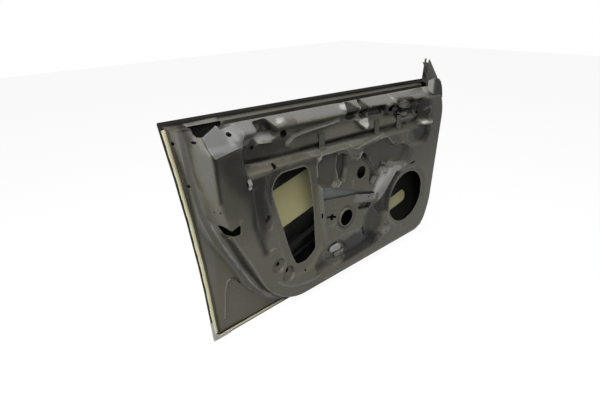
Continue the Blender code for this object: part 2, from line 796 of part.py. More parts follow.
def panel_holes():
    """Openings pierced in the inner panel."""
    holes = {
        "rear_opening": pressed([(0.2575, 0.492, 0.050), (0.330, 0.215, 0.30),
                                 (0.355, 0.155, 0.020), (0.397, 0.151, 0.020),
                                 (0.4405, 0.178, 0.020), (0.434, 0.340, 0.40),
                                 (0.411, 0.496, 0.032)]),
        "speaker": circle(SPEAKER_X, SPEAKER_HEIGHT, SPEAKER_RADIUS, 32),
        "round": circle(*drawn(ROUND_HOLE_X, ROUND_HOLE_HEIGHT), ROUND_HOLE_RADIUS - 0.002, 16),
        "cross_slot": ellipse(*drawn(0.508, 0.274), 0.020, 0.008, -20, 8),
        "upper_round": circle(*drawn(0.646, 0.402), 0.020, 14),
        "upper_small": circle(*drawn(0.683, 0.364), 0.006, 8),
        "dish_low": circle(*drawn(0.276, 0.192), 0.008, 8),
        "dish_tab": circle(*drawn(0.316, 0.150), 0.008, 8),
        "keyhole": circle(*drawn(0.249, 0.363), 0.008, 8),
        "belt_window": pressed([(0.222, 0.640, 0.004), (0.224, 0.609, 0.008),
                                (0.245, 0.597, 0.008), (0.278, 0.600, 0.008),
                                (0.296, 0.616, 0.006), (0.270, 0.641, 0.006)], math.radians(40)),
        "belt_round": circle(*drawn(0.328, 0.598), 0.011, 10),
        "belt_small": circle(*drawn(0.216, 0.586), 0.007, 8),
        "under_ledge": circle(*drawn(0.277, 0.512), 0.008, 8),
        "channel_ring": circle(*drawn(0.802, 0.588), 0.012, 10),
        "front_tab": circle(*drawn(0.990, 0.541), 0.009, 8),
        "pillar_slot": pressed([(0.460, 0.307, 0.002), (0.461, 0.289, 0.002),
                                (0.466, 0.289, 0.002), (0.466, 0.307, 0.002)],
                               math.radians(45)),
        "wedge": pressed([(0.474, 0.389, 0.004), (0.472, 0.353, 0.004), (0.600, 0.328, 0.02),
                          (0.628, 0.3225, 0.02), (0.640, 0.335, 0.02), (0.526, 0.374, 0.004)]),
        "latch": pressed([(0.096, 0.395, 0.003), (0.113, 0.356, 0.004), (0.148, 0.354, 0.004),
                          (0.150, 0.384, 0.004), (0.122, 0.374, 0.004)], math.radians(45)),
        "speaker_slot": ellipse(*drawn(0.955, 0.357), 0.018, 0.004, -4, 8),
        "boss_hole": circle(*drawn(0.806, 0.109), 0.004, 6),
        "drain": circle(*drawn(0.389, 0.118), 0.004, 6),
    }
    return holes


def panel_creases():
    """Lines that the panel's facets follow."""
    creases = [(FACE, True), (FACE_FOOT, True), (LAND, True), (LAND_FOOT, True)]
    creases += [(offset(SKIN, -RIM_START), True), (offset(SKIN, -RIM_START - RIM_RUN), True)]
    for drop, depth in SLOPE_STEPS[1:]:
        creases.append((belt_run(STAIR_END + STAIR_BLEND, front(0.05), drop), False))
    for drop, depth in STAIR_STEPS[1:]:
        creases.append((belt_run(0.074, STAIR_END, drop), False))
    for drop, depth in CHANNEL_STEPS[1:]:
        start = CHANNEL_REAR + CHANNEL_END_RUN
        end = front(CHANNEL_FROM_FRONT) - CHANNEL_END_RUN
        creases.append((belt_run(start, end, drop), False))
    for x in (CHANNEL_REAR, CHANNEL_REAR + CHANNEL_END_RUN,
              front(CHANNEL_FROM_FRONT) - CHANNEL_END_RUN, front(CHANNEL_FROM_FRONT)):
        creases.append((np.array([(x, belt_line(x) - BELT_NOSE_DROP),
                                  (x, belt_line(x) - LEDGE_DROP)]), False))
    for outline, rise, wall, tilt in FORMS:
        creases.append((outline, True))
        creases.append((offset(outline, wall), True))
    return creases


def inner_panel():
    """The large stamped inner sheet."""
    material = add_material("panel_grey", (0.09, 0.088, 0.075), 0.38, 0.1)
    holes = list(panel_holes().values())
    panel = add_sheet("inner_panel", panel_boundary(), panel_depth, SHEET, material,
                      holes, panel_creases())
    return panel


# Pieces nested on the panel or on the skin


def steepness(points, depth):
    """How much longer a step along y is than one square to the surface."""
    step = 0.0005
    run_x = (depth(points + (step, 0)) - depth(points - (step, 0))) / (2 * step)
    run_z = (depth(points + (0, step)) - depth(points - (0, step))) / (2 * step)
    return np.minimum(np.sqrt(1 + run_x ** 2 + run_z ** 2), STEEPEST)


def behind_panel(points, extra=0.0):
    """Depth just behind the inner panel's skin side."""
    gap = SHEET + WELD_GAP
    return panel_depth(points) - (gap * steepness(points, panel_depth) + extra)


def before_panel(points, thickness):
    """Depth of the cabin side of a sheet laid on the inner panel."""
    gap = WELD_GAP + thickness
    return panel_depth(points) + gap * steepness(points, panel_depth)


def behind_skin(points, thickness):
    """Depth of the cabin side of a sheet laid on the skin's inner side."""
    return skin_seat(points) + thickness


def under_belt(pairs):
    """Outline from places (x, drop below the belt line)."""
    return counterclockwise(np.array([(x, belt_line(x) - drop) for x, drop in pairs]))


OUTER_STRIP_STEPS = [(0.0155, 0.0), (0.0200, 0.011), (0.0460, 0.011), (0.0505, 0.0)]
OUTER_STRIP_FOOT = 0.064


def belt_reinforcement_outer():
    """Pressed strip folded into the skin's belt hem."""
    material = add_material("strip_olive", (0.085, 0.082, 0.062), 0.45, 0.1)
    end = front(SLOT_FROM_FRONT)
    gap = SHEET + WELD_GAP + 0.0002
    stations = np.linspace(OUTER_STRIP_REAR, end, 11)
    boundary = under_belt([(x, gap) for x in stations]
                          + [(x, OUTER_STRIP_FOOT) for x in stations[::-1]])

    def depth(points):
        drop = belt_line(points[:, 0]) - points[:, 1]
        return behind_skin(points, SHEET) + belt_profile(drop, OUTER_STRIP_STEPS)

    creases = [(np.array([(x, belt_line(x) - drop) for x in stations]), False)
               for drop, rise in OUTER_STRIP_STEPS]
    add_sheet("belt_reinforcement_outer", boundary, depth, SHEET, material, (), creases)


RAIL_STEPS = [(0.024, 0.0470), (0.034, 0.0405), (0.090, 0.0405), (0.1215, 0.0682),
              (0.137, 0.0622)]


def belt_reinforcement_inner():
    """Pressed rail that closes the belt slope to a box."""
    material = add_material("rail_grey", (0.12, 0.12, 0.11), 0.4, 0.1)
    end = front(CHANNEL_FROM_FRONT) - CHANNEL_END_RUN
    stations = np.linspace(RAIL_REAR, end, 9)
    boundary = under_belt([(x, RAIL_STEPS[0][0]) for x in stations]
                          + [(x, RAIL_STEPS[-1][0]) for x in stations[::-1]])

    def depth(points):
        drop = belt_line(points[:, 0]) - points[:, 1]
        return np.minimum(belt_profile(drop, RAIL_STEPS), behind_panel(points))

    creases = [(belt_run(RAIL_REAR, end, drop), False) for drop, level in RAIL_STEPS[1:-1]]
    add_sheet("belt_reinforcement_inner", boundary, depth, REINFORCEMENT_SHEET, material,
              (), creases)


def belt_rail_end_plate():
    """Stepped plate laid over the rear end of the belt."""
    material = add_material("end_plate_grey", (0.25, 0.25, 0.24), 0.4, 0.1)
    boundary = under_belt([(0.089, 0.0365), (0.128, 0.0260), (0.147, 0.0260), (0.149, 0.086),
                           (0.103, 0.096)])
    hole = circle(0.148 - 0.014, belt_line(0.134) - 0.044, 0.006, 8)
    add_sheet("belt_rail_end_plate", boundary, lambda points: before_panel(points, SHEET),
              SHEET, material, [hole], panel_creases())


PATCH_SHEET = 0.0012


def skin_patches():
    """Stiffening patches stuck to the skin's inner side."""
    material = add_material("patch_yellow", (0.45, 0.44, 0.24), 0.7)

    def depth(points):
        return behind_skin(points, PATCH_SHEET)

    rear = pressed([(0.205, 0.362, 0.02), (0.205, 0.212, 0.02), (0.600, 0.300, 0.02),
                    (0.600, 0.454, 0.02)])
    ahead = rounded([(front(0.480), 0.146, 0.02), (front(0.480), 0.086, 0.02),
                     (front(0.148), 0.150, 0.025), (front(0.148), 0.208, 0.025)])
    for name, outline in (("skin_patch_rear", rear), ("skin_patch_front", ahead)):
        outline = counterclockwise(subdivided(outline, 0.045))
        fill = [(x, z) for x in np.arange(0.25, DOOR_LENGTH, 0.1)
                for z in np.arange(0.045, 0.5, 0.045)]
        fill = [point for point in fill
                if signed_distance(np.array([point]), outline)[0] < -0.012]
        add_sheet(name, outline, depth, PATCH_SHEET, material, (), (), fill)


BEAM_FRONT_X = DOOR_LENGTH - 0.058
BEAM_REAR_SHELF = 0.0600
BEAM_FRONT_SHELF = 0.0252
BEAM_SEAT = REINFORCEMENT_SHEET + WELD_GAP
BEAM_STEPS = [(0.006, 0.20), (0.012, 1.0), (0.028, 1.0), (0.034, 0.0)]


def beam_axis(x):
    """Height of the beam's middle line."""
    return BEAM_REAR_HEIGHT + BEAM_SLOPE * (x - BEAM_REAR_X)


def across_beam(points):
    """Distance of each point from the beam's middle line."""
    climb = math.hypot(1, BEAM_SLOPE)
    return (points[:, 1] - beam_axis(points[:, 0])) / climb


def beam_depth(points):
    """Depth of the beam's cabin side: two ridges between flat flanges."""
    share = (points[:, 0] - BEAM_REAR_X) / (BEAM_FRONT_X - BEAM_REAR_X)
    top = BEAM_REAR_SHELF + (BEAM_FRONT_SHELF - BEAM_REAR_SHELF) * ramp(share) - BEAM_SEAT
    side = np.abs(across_beam(points))
    ridge = np.interp(side, [step[0] for step in BEAM_STEPS], [step[1] for step in BEAM_STEPS])
    return top - BEAM_RIDGE * (1 - ridge)


def beam_line(side, start, end, steps=8):
    """Line along the beam at a distance to one side of its middle."""
    climb = math.hypot(1, BEAM_SLOPE)
    return np.array([(x, beam_axis(x) + side * climb) for x in np.linspace(start, end, steps)])


def intrusion_beam():
    """Two-ridged beam that runs from the lower rear to the hinge side."""
    material = add_material("beam_black", (0.012, 0.012, 0.013), 0.35)
    start = BEAM_REAR_X + 0.068
    low = beam_line(-BEAM_HALF_WIDTH, start + 0.012, BEAM_FRONT_X)
    high = beam_line(BEAM_HALF_WIDTH, start - 0.012, BEAM_FRONT_X)
    creases = []
    for step in BEAM_STEPS:
        creases.append((beam_line(step[0], start - 0.02, BEAM_FRONT_X + 0.01), False))
        creases.append((beam_line(-step[0], start - 0.02, BEAM_FRONT_X + 0.01), False))
    add_sheet("intrusion_beam", np.concatenate([low, high[::-1]]), beam_depth, BEAM_SHEET,
              material, (), creases)


def beam_brackets():
    """Brackets that carry the beam on the panel's walls, one at each end."""
    material = add_material("bracket_black", (0.02, 0.02, 0.02), 0.4)
    rear = counterclockwise(np.array([drawn(x, z) for x, z in (
        (0.196, 0.118), (0.246, 0.074), (0.300, 0.070), (0.300, 0.205), (0.215, 0.205),
        (0.176, 0.165))]))
    end = BEAM_FRONT_X
    ahead = counterclockwise(np.array([
        (end - 0.070, beam_axis(end) - 0.078), (end + 0.018, beam_axis(end) - 0.055),
        (end + 0.018, beam_axis(end) + 0.055), (end - 0.070, beam_axis(end) + 0.045)]))

    def depth(points):
        return np.minimum(behind_panel(points, 2 * WELD_GAP), shelf_depth(points))

    for name, outline in (("beam_bracket_rear", rear), ("beam_bracket_front", ahead)):
        outline = subdivided(outline, 0.03)
        add_sheet(name, outline, depth, REINFORCEMENT_SHEET, material, (), panel_creases())


def shelf_depth(points):
    """Depth of the seat that carries the beam's ridges."""
    share = (points[:, 0] - BEAM_REAR_X) / (BEAM_FRONT_X - BEAM_REAR_X)
    return BEAM_REAR_SHELF + (BEAM_FRONT_SHELF - BEAM_REAR_SHELF) * ramp(share)


def latch_reinforcement():
    """Plate behind the shut face round the latch opening."""
    material = add_material("latch_plate_grey", (0.10, 0.10, 0.095), 0.4, 0.1)
    boundary = counterclockwise(pressed([(0.094, 0.432, 0.006), (0.118, 0.322, 0.006),
                                         (0.180, 0.322, 0.010), (0.172, 0.432, 0.010)]))
    hole = offset(counterclockwise(panel_holes()["latch"]), 0.004)
    add_sheet("latch_reinforcement", boundary, behind_panel, REINFORCEMENT_SHEET, material,
              [hole], panel_creases())


def armrest_bracket():
    """Grey plate behind the wedge-shaped opening, sunk inside it."""
    material = add_material("armrest_bracket_grey", (0.16, 0.165, 0.17), 0.4, 0.1)
    wedge = counterclockwise(panel_holes()["wedge"])
    boundary = offset(wedge, 0.010)
    floor = offset(wedge, -0.001)

    def depth(points):
        sink = 1 - ramp(signed_distance(points, floor) / 0.004)
        ground = np.minimum(behind_panel(points), TRIM_DEPTH - SHEET - 2 * WELD_GAP)
        return ground - 0.006 * sink

    creases = panel_creases() + [(floor, True), (offset(floor, 0.004), True)]
    add_sheet("armrest_bracket", boundary, depth, REINFORCEMENT_SHEET, material, (), creases)


# Hinge side


def wall_matrix(place, inward):
    """Frame square to the hinge wall, at a distance inside its outer face."""
    return Matrix.Translation(place - WALL_NORMAL * inward) @ WALL_FRAME


def hinge_pad(label, place):
    """Reinforcement plate with its bolt holes and weld nuts, behind one hinge pad."""
    plate_grey = add_material("hinge_plate_" + label, (0.13, 0.135, 0.14), 0.35, 0.3)
    nut_grey = add_material("weld_nut_" + label, (0.2, 0.2, 0.2), 0.35, 0.8)
    seat = SHEET + WELD_GAP
    name = "hinge_reinforcement_" + label
    size = (HINGE_PLATE_THICKNESS, HINGE_PLATE[1], HINGE_PLATE[0])
    mesh = box_mesh(name, size)
    mesh.materials.append(plate_grey)
    plate = bpy.data.objects.new(name, mesh)
    bpy.context.collection.objects.link(plate)
    plate.parent = DATUM
    plate.matrix_local = wall_matrix(place, seat + HINGE_PLATE_THICKNESS / 2)
    nut_seat = seat + HINGE_PLATE_THICKNESS + WELD_GAP
    for side, which in ((-1, "low"), (1, "high")):
        centre = place + WALL_RISE * side * HINGE_BOLT_SPACING / 2
        drill = add_cutter("hinge_drill_%s_%s" % (label, which),
                           rod_mesh("hinge_drill", HINGE_BOLT_HOLE, 0.050, 10))
        drill.matrix_local = wall_matrix(centre, 0.0)
        cut(PANEL, drill)
        cut(plate, drill)
        nut_name = "hinge_nut_%s_%s" % (label, which)
        nut_mesh = rod_mesh(nut_name, WELD_NUT_RADIUS, WELD_NUT_HEIGHT, 6)
        nut_mesh.materials.append(nut_grey)
        nut = bpy.data.objects.new(nut_name, nut_mesh)
        bpy.context.collection.objects.link(nut)
        nut.parent = DATUM
        nut.matrix_local = wall_matrix(centre, nut_seat + WELD_NUT_HEIGHT / 2)
        cut(nut, drill)


def check_strap_reinforcement():
    """Slotted plate behind the door check's pad, and the wiring hole above it."""
    material = add_material("check_plate_grey", (0.13, 0.135, 0.14), 0.35, 0.3)
    place = on_hinge_wall(CHECK_STRAP_HEIGHT)
    thickness = 0.0025
    mesh = box_mesh("check_strap_reinforcement", (thickness, 0.038, 0.062))
    mesh.materials.append(material)
    plate = bpy.data.objects.new("check_strap_reinforcement", mesh)
    bpy.context.collection.objects.link(plate)
    plate.parent = DATUM
    plate.matrix_local = wall_matrix(place, SHEET + WELD_GAP + thickness / 2)
    slot = add_cutter("check_strap_slot",
                      box_mesh("check_strap_slot",
                               (0.050, CHECK_STRAP_SLOT[1], CHECK_STRAP_SLOT[0])))
    slot.matrix_local = wall_matrix(place, 0.0)
    cut(plate, slot)
    cut(PANEL, slot)
    drill = add_cutter("wiring_hole", rod_mesh("wiring_hole", WIRING_HOLE_RADIUS, 0.050, 16))
    drill.matrix_local = wall_matrix(on_hinge_wall(WIRING_HOLE_HEIGHT), 0.0)
    cut(PANEL, drill)


# Mirror sail


def mirror_sail():
    """Two upright sheets of the sail and the sloping strip between them."""
    material = add_material("sail_grey", (0.04, 0.04, 0.037), 0.4)
    rear = front(SAIL_FROM_FRONT)
    outer = under_belt([(rear, 0.0115), (rear + 0.048, 0.0115), (rear + 0.052, -0.006),
                        (rear + 0.016, -SAIL_HEIGHT + 0.014), (rear + 0.012, -SAIL_HEIGHT + 0.014),
                        (rear + 0.011, -SAIL_HEIGHT), (rear, -SAIL_HEIGHT)])

    def outer_depth(points):
        return skin_depth(points[:, 0], points[:, 1]) + SAIL_OUTER_DEPTH

    add_sheet("mirror_sail_outer", outer, outer_depth, SHEET, material,
              (), [(belt_run(rear - 0.01, rear + 0.06, -0.012), False)])
    inner_rear = rear - 0.030
    inner = under_belt([(inner_rear, 0.036), (inner_rear + 0.010, 0.036),
                        (inner_rear + 0.012, 0.012), (inner_rear + 0.070, 0.010),
                        (inner_rear + 0.076, -0.004), (inner_rear + 0.008, -SAIL_HEIGHT),
                        (inner_rear, -SAIL_HEIGHT)])
    fold = 0.005

    def inner_depth(points):
        drop = belt_line(points[:, 0]) - points[:, 1]
        foot = ramp((drop - BELT_EDGE_DROP) / fold)
        return SAIL_INNER_DEPTH + foot * (behind_panel(points) - SAIL_INNER_DEPTH)

    folds = [(belt_run(inner_rear - 0.01, inner_rear + 0.08, drop), False)
             for drop in (BELT_EDGE_DROP, BELT_EDGE_DROP + fold)]
    add_sheet("mirror_sail_inner", inner, inner_depth, SHEET, material, (),
              panel_creases() + folds)
    foot = Vector((inner_rear + 0.070, 0.0, belt_line(inner_rear + 0.070) - 0.001))
    head = Vector((inner_rear + 0.014, 0.0, belt_line(inner_rear + 0.014) + SAIL_HEIGHT - 0.012))
    near = SAIL_INNER_DEPTH - SHEET - WELD_GAP
    behind = max(skin_depth(end.x, end.z) for end in (foot, head))
    far = SAIL_OUTER_DEPTH + behind + SAIL_STRIP_CLEARANCE
    run = head - foot
    strip_mesh = box_mesh("sail_slope_strip", (run.length, near - far, 0.0010))
    strip_mesh.materials.append(material)
    strip = bpy.data.objects.new("sail_slope_strip", strip_mesh)
    bpy.context.collection.objects.link(strip)
    strip.parent = DATUM
    strip.location = (foot + head) / 2 + Vector((0, -(near + far) / 2, 0))
    strip.rotation_euler = (0, -math.atan2(run.z, run.x), 0)


def sail_bracket():
    """Small light tab that stands forward of the belt's front end."""
    material = add_material("bracket_light", (0.3, 0.3, 0.28), 0.4)
    level = BELT_NOSE_DEPTH + WELD_GAP + 0.0015
    outline = under_belt([(front(0.112), 0.0470), (front(0.088), 0.0470), (front(0.084), 0.016),
                          (front(0.066), -0.010), (front(0.070), -0.016),
                          (front(0.098), 0.000), (front(0.112), 0.030)])
    add_sheet("sail_bracket", outline, lambda points: np.full(len(points), level), 0.0015,
              material)


# Sealant and small trim


def bead(name, keep, material):
    """Sealant bead laid on the folded hem along part of the door's edge."""
    lines = []
    for share in (0.0, 0.5, 1.0):
        line = offset(SKIN, -(BEAD_INSET + BEAD_WIDTH * share))
        lines.append(np.array([point for point, edge in zip(line, SKIN) if keep(edge)]))
    hem = 3 * SHEET + 2 * WELD_GAP

    def base(points):
        return skin_depth(points[:, 0], points[:, 1]) + hem + WELD_GAP

    def top(points):
        inset = -signed_distance(points, SKIN)
        share = ramp((inset - BEAD_INSET) / BEAD_WIDTH)
        return base(points) + BEAD_HEIGHT * (0.45 + 2.2 * share * (1 - share))

    boundary = np.concatenate([lines[0], lines[2][::-1]])
    add_sheet(name, counterclockwise(boundary), top, BEAD_HEIGHT, material, (),
              [(lines[1], False)], (), base)


def sealant():
    """Cream sealant down the rear hem, along the bottom and up the front."""
    material = add_material("sealant_cream", (0.70, 0.66, 0.42), 0.55)
    middle = DOOR_LENGTH / 2
    bead("hem_sealant_rear",
         lambda edge: edge[0] < 0.08 and 0.075 < edge[1] < belt_line(0) - 0.010, material)
    bead("hem_sealant_bottom",
         lambda edge: edge[1] < 0.003 and 0.115 < edge[0] < front(0.115), material)
    bead("hem_sealant_front",
         lambda edge: edge[0] > middle and 0.060 < edge[1] < BELT_HEIGHT_FRONT - 0.030, material)


CAP_WALL = 0.0012


def corner_cap(name, outline, material):
    """Plastic cap over a bottom corner of the hem, with a lip round the edge."""
    hem = 3 * SHEET + 2 * WELD_GAP

    def outer(points):
        return skin_depth(points[:, 0], points[:, 1]) + hem + WELD_GAP + CAP_WALL

    def inner(points):
        past = ramp((signed_distance(points, SKIN) - WELD_GAP) / 0.0005)
        return outer(points) - CAP_WALL - (hem + WELD_GAP) * past

    creases = [(offset(SKIN, WELD_GAP), True), (offset(SKIN, WELD_GAP + 0.0005), True),
               (offset(SKIN, -0.02), True)]
    add_sheet(name, counterclockwise(subdivided(outline, 0.02)), outer, CAP_WALL, material,
              (), creases, (), inner)


def corner_protectors():
    """Clear caps on the rear and front bottom corners."""
    material = add_material("cap_clear", (0.75, 0.77, 0.74), 0.25)
    lip = WELD_GAP + 0.0015
    rear = REAR_EDGE_LEAN
    corner_cap("corner_protector_rear", np.array([
        (rear - lip, -lip), (rear + 0.060, -lip), (rear + 0.062, 0.009), (rear + 0.018, 0.0125),
        (rear + 0.0125, 0.018), (rear + 0.0128, 0.060), (rear + 0.0005, 0.062)]), material)
    ahead = front(0.040)
    corner_cap("corner_protector_front", np.array([
        (ahead - 0.060, 0.010), (ahead - 0.060, -lip), (ahead - 0.028, -lip),
        (ahead - 0.012, 0.0015), (ahead - 0.0005, 0.0125), (ahead - 0.007, 0.021),
        (ahead - 0.018, 0.0125), (ahead - 0.030, 0.010)]), material)


def lower_pad():
    """Light pad and its small plate, laid in the cup near the bottom."""
    pad_grey = add_material("pad_grey", (0.42, 0.42, 0.42), 0.6)
    plate_olive = add_material("pad_plate_olive", (0.20, 0.195, 0.16), 0.45)
    pad = counterclockwise(pressed([(0.508, 0.156, 0.010), (0.512, 0.128, 0.012),
                                    (0.562, 0.124, 0.008), (0.562, 0.146, 0.012),
                                    (0.545, 0.158, 0.008)]))
    plate = counterclockwise(pressed([(0.534, 0.116, 0.004), (0.548, 0.090, 0.006),
                                      (0.588, 0.090, 0.008), (0.588, 0.116, 0.004)]))

    def seat(points):
        return before_panel(points, 0.0) + 0.0002

    for name, outline, height, material, holes in (
            ("lower_pad", pad, 0.009, pad_grey, ()),
            ("lower_pad_plate", plate, 0.002, plate_olive, [circle(*drawn(0.572, 0.102), 0.004, 8)])):
        crown = offset(outline, -0.003)

        def top(points, outline=outline, height=height):
            lift = ramp(-signed_distance(points, outline) / 0.003)
            return seat(points) + height * (0.6 + 0.4 * lift)

        add_sheet(name, outline, top, height, material, holes,
                  panel_creases() + [(crown, True)], (), seat)


def belt_trim_clips():
    """Three tabs that bridge the lower part of the belt channel, and a spring clip."""
    material = add_material("clip_grey", (0.22, 0.22, 0.21), 0.35, 0.3)
    steel = add_material("spring_steel", (0.35, 0.35, 0.34), 0.25, 0.9)
    level = CHANNEL_DEPTH + 0.008
    for name, station in (("belt_trim_clip_rear", 0.4865), ("belt_trim_clip_middle", 0.754),
                          ("belt_trim_clip_front", 0.878)):
        x = station * LENGTH_SHARE
        half = 0.0125
        outline = under_belt([(x - half, 0.100), (x - half, 0.150), (x + half, 0.150),
                              (x + half, 0.100)])

        def depth(points):
            return np.maximum(before_panel(points, SHEET), level)

        creases = panel_creases() + [(belt_run(x - 0.02, x + 0.02, drop), False)
                                     for drop in (0.1225, 0.1472)]
        add_sheet(name, outline, depth, SHEET, material, (), creases)
    clip = counterclockwise(pressed([(0.184, 0.508, 0.004), (0.186, 0.476, 0.004),
                                     (0.198, 0.476, 0.004), (0.196, 0.508, 0.004)]))
    bows = [drawn(0.19, height)[1] for height in (0.484, 0.490, 0.496, 0.502)]

    def clip_depth(points):
        bow = np.interp(points[:, 1], bows, [0.0, 1.0, 1.0, 0.0])
        return before_panel(points, 0.001) + 0.004 * bow

    across = [(np.array([drawn(0.17, 0.0), drawn(0.21, 0.0)]) + (0.0, z), False) for z in bows]
    add_sheet("spring_clip", clip, clip_depth, 0.001, steel, (), panel_creases() + across)


# The door's pieces

outer_skin()
PANEL = inner_panel()
belt_reinforcement_outer()
belt_reinforcement_inner()
belt_rail_end_plate()
skin_patches()
intrusion_beam()
beam_brackets()
latch_reinforcement()
armrest_bracket()
hinge_pad("upper", HINGE_UPPER)
hinge_pad("lower", HINGE_LOWER)
check_strap_reinforcement()
mirror_sail()
sail_bracket()
sealant()
corner_protectors()
lower_pad()
belt_trim_clips()
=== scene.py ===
import math

import bpy
import bmesh
import numpy as np
from mathutils import Matrix, Vector, geometry, kdtree


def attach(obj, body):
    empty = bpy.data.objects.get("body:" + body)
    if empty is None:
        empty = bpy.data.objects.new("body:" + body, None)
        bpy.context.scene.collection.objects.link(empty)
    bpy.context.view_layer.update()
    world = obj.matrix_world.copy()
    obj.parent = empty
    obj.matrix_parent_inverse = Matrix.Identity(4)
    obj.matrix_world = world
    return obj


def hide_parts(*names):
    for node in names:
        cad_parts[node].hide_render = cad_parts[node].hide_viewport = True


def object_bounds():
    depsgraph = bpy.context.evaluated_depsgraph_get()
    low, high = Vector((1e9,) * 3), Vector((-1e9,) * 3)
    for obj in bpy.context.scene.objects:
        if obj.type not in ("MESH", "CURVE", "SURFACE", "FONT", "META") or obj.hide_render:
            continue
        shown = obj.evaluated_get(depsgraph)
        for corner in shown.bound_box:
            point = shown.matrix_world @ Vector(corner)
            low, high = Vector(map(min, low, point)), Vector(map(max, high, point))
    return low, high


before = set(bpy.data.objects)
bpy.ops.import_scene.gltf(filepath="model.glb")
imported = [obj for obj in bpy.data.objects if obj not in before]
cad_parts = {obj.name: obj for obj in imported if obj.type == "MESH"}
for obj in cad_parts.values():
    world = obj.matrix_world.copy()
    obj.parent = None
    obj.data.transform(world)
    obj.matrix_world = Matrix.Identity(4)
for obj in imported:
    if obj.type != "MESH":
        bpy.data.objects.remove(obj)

cad_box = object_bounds()


# Studio floor, camera and lamps.
# A white sweep under a large soft box overhead, photographed from behind the
# door's rear edge and a little above its belt.

HINGE_PAD = np.array((1.134167, -0.061330, 0.470000))
CAMERA_PLACE = np.array((-0.394, -0.981, 0.939)) - HINGE_PAD
CAMERA_AZIMUTH = math.radians(-40.747)
CAMERA_TILT = math.radians(25.251)
CAMERA_ROLL = math.radians(-1.538)
CAMERA_LENS = 25.30

scene = bpy.context.scene
scene.view_settings.view_transform = "Standard"

ahead = Vector((-math.sin(CAMERA_AZIMUTH) * math.cos(CAMERA_TILT),
                math.cos(CAMERA_AZIMUTH) * math.cos(CAMERA_TILT), -math.sin(CAMERA_TILT)))
level = ahead.cross(Vector((0, 0, 1))).normalized()
above = level.cross(ahead)
across = level * math.cos(CAMERA_ROLL) + above * math.sin(CAMERA_ROLL)
upward = above * math.cos(CAMERA_ROLL) - level * math.sin(CAMERA_ROLL)
camera = bpy.data.objects.new("camera", bpy.data.cameras.new("camera"))
camera.data.lens = CAMERA_LENS
camera.data.sensor_width = 36.0
camera.data.clip_start = 0.05
turned = Matrix((across, upward, -ahead)).transposed().to_4x4()
camera.matrix_world = Matrix.Translation(Vector(CAMERA_PLACE)) @ turned
scene.collection.objects.link(camera)
scene.camera = camera


def filled(node, **values):
    """The node with its socket values."""
    for socket, value in values.items():
        node.inputs[socket].default_value = value
    return node


def shading(tree, kind, **values):
    """New shader node with its socket values."""
    return filled(tree.nodes.new("ShaderNode" + kind), **values)


def seen_straight(tree):
    """1 for rays that show the backdrop: from the camera, a mirror or through glass."""
    path = shading(tree, "LightPath")
    largest = path.outputs["Is Camera Ray"]
    for kind in ("Is Glossy Ray", "Is Transmission Ray"):
        pick = shading(tree, "Math")
        pick.operation = "MAXIMUM"
        tree.links.new(largest, pick.inputs[0])
        tree.links.new(path.outputs[kind], pick.inputs[1])
        largest = pick.outputs[0]
    return largest


def lit_apart(tree, output, plain, seen):
    """Surface that lights the door as plain, and shows as seen where it is looked at."""
    mixed = shading(tree, "MixShader")
    tree.links.new(seen_straight(tree), mixed.inputs["Fac"])
    tree.links.new(plain.outputs[0], mixed.inputs[1])
    tree.links.new(seen.outputs[0], mixed.inputs[2])
    tree.links.new(mixed.outputs[0], shading(tree, output).inputs["Surface"])


WHITE = (1.0, 1.0, 1.0, 1.0)
world = bpy.data.worlds.new("studio")
world.use_nodes = True
scene.world = world
tree = world.node_tree
tree.nodes.clear()
lit_apart(tree, "OutputWorld", shading(tree, "Background", Color=WHITE, Strength=0.10),
          shading(tree, "Background", Color=WHITE, Strength=1.0))

white = bpy.data.materials.new("white_sweep")
white.use_nodes = True
tree = white.node_tree
tree.nodes.clear()
glow = shading(tree, "Emission", Strength=0.93)
faint = shading(tree, "BsdfDiffuse", Color=(0.10, 0.10, 0.10, 1.0))
bright = shading(tree, "AddShader")
tree.links.new(glow.outputs[0], bright.inputs[0])
tree.links.new(faint.outputs[0], bright.inputs[1])
lit_apart(tree, "OutputMaterial",
          shading(tree, "BsdfDiffuse", Color=(0.30, 0.30, 0.30, 1.0)), bright)

FLOOR_SIZE = 14.0
mesh = bpy.data.meshes.new("floor")
half = FLOOR_SIZE / 2
floor_level = cad_box[0][2]
mesh.from_pydata([(-half, -half, floor_level), (half, -half, floor_level),
                  (half, half, floor_level), (-half, half, floor_level)], [], [(0, 1, 2, 3)])
mesh.materials.append(white)
floor = bpy.data.objects.new("floor", mesh)
scene.collection.objects.link(floor)

for name, place, size, power, aim in (
        ("key_box", (-1.75, -1.15, 1.35), 1.5, 30.0, (-0.80, 0.0, 0.0)),
        ("top_box", (-0.60, -0.30, 2.20), 2.2, 40.0, (-0.55, 0.0, 0.0)),
        ("side_box", (-3.20, -0.20, 0.60), 1.4, 30.0, (-1.0, 0.0, -0.1))):
    lamp = bpy.data.lights.new(name, "AREA")
    lamp.shape = "SQUARE"
    lamp.size = size
    lamp.energy = power
    holder = bpy.data.objects.new(name, lamp)
    holder.location = place
    holder.rotation_euler = (Vector(aim) - Vector(place)).to_track_quat("-Z", "Y").to_euler()
    scene.collection.objects.link(holder)


# Outer skin.
# One large pressed sheet, bulged along its length, with its edge folded back
# round the inner sheet; dipped in black primer on the inside as well.

DOOR_LENGTH = 1.180
BELT_REAR = 0.682
BELT_FRONT = 0.645
BELT_FALL = (BELT_FRONT - BELT_REAR) / DOOR_LENGTH
REAR_LEAN = 0.045
SILL_TUCK = 0.050
SIDE_BULGE = 0.045
LENGTH_BULGE = 0.006
SHEET = 0.0008
WELD_GAP = 0.0003
HEM_RETURN = 0.0135
BELT_RETURN = 0.0115
HEM_STACK = 3 * SHEET + 2 * WELD_GAP
FINE_ARC = math.radians(8.0)


def front(back):
    """X of a place measured back from the door's foremost point."""
    return DOOR_LENGTH - back


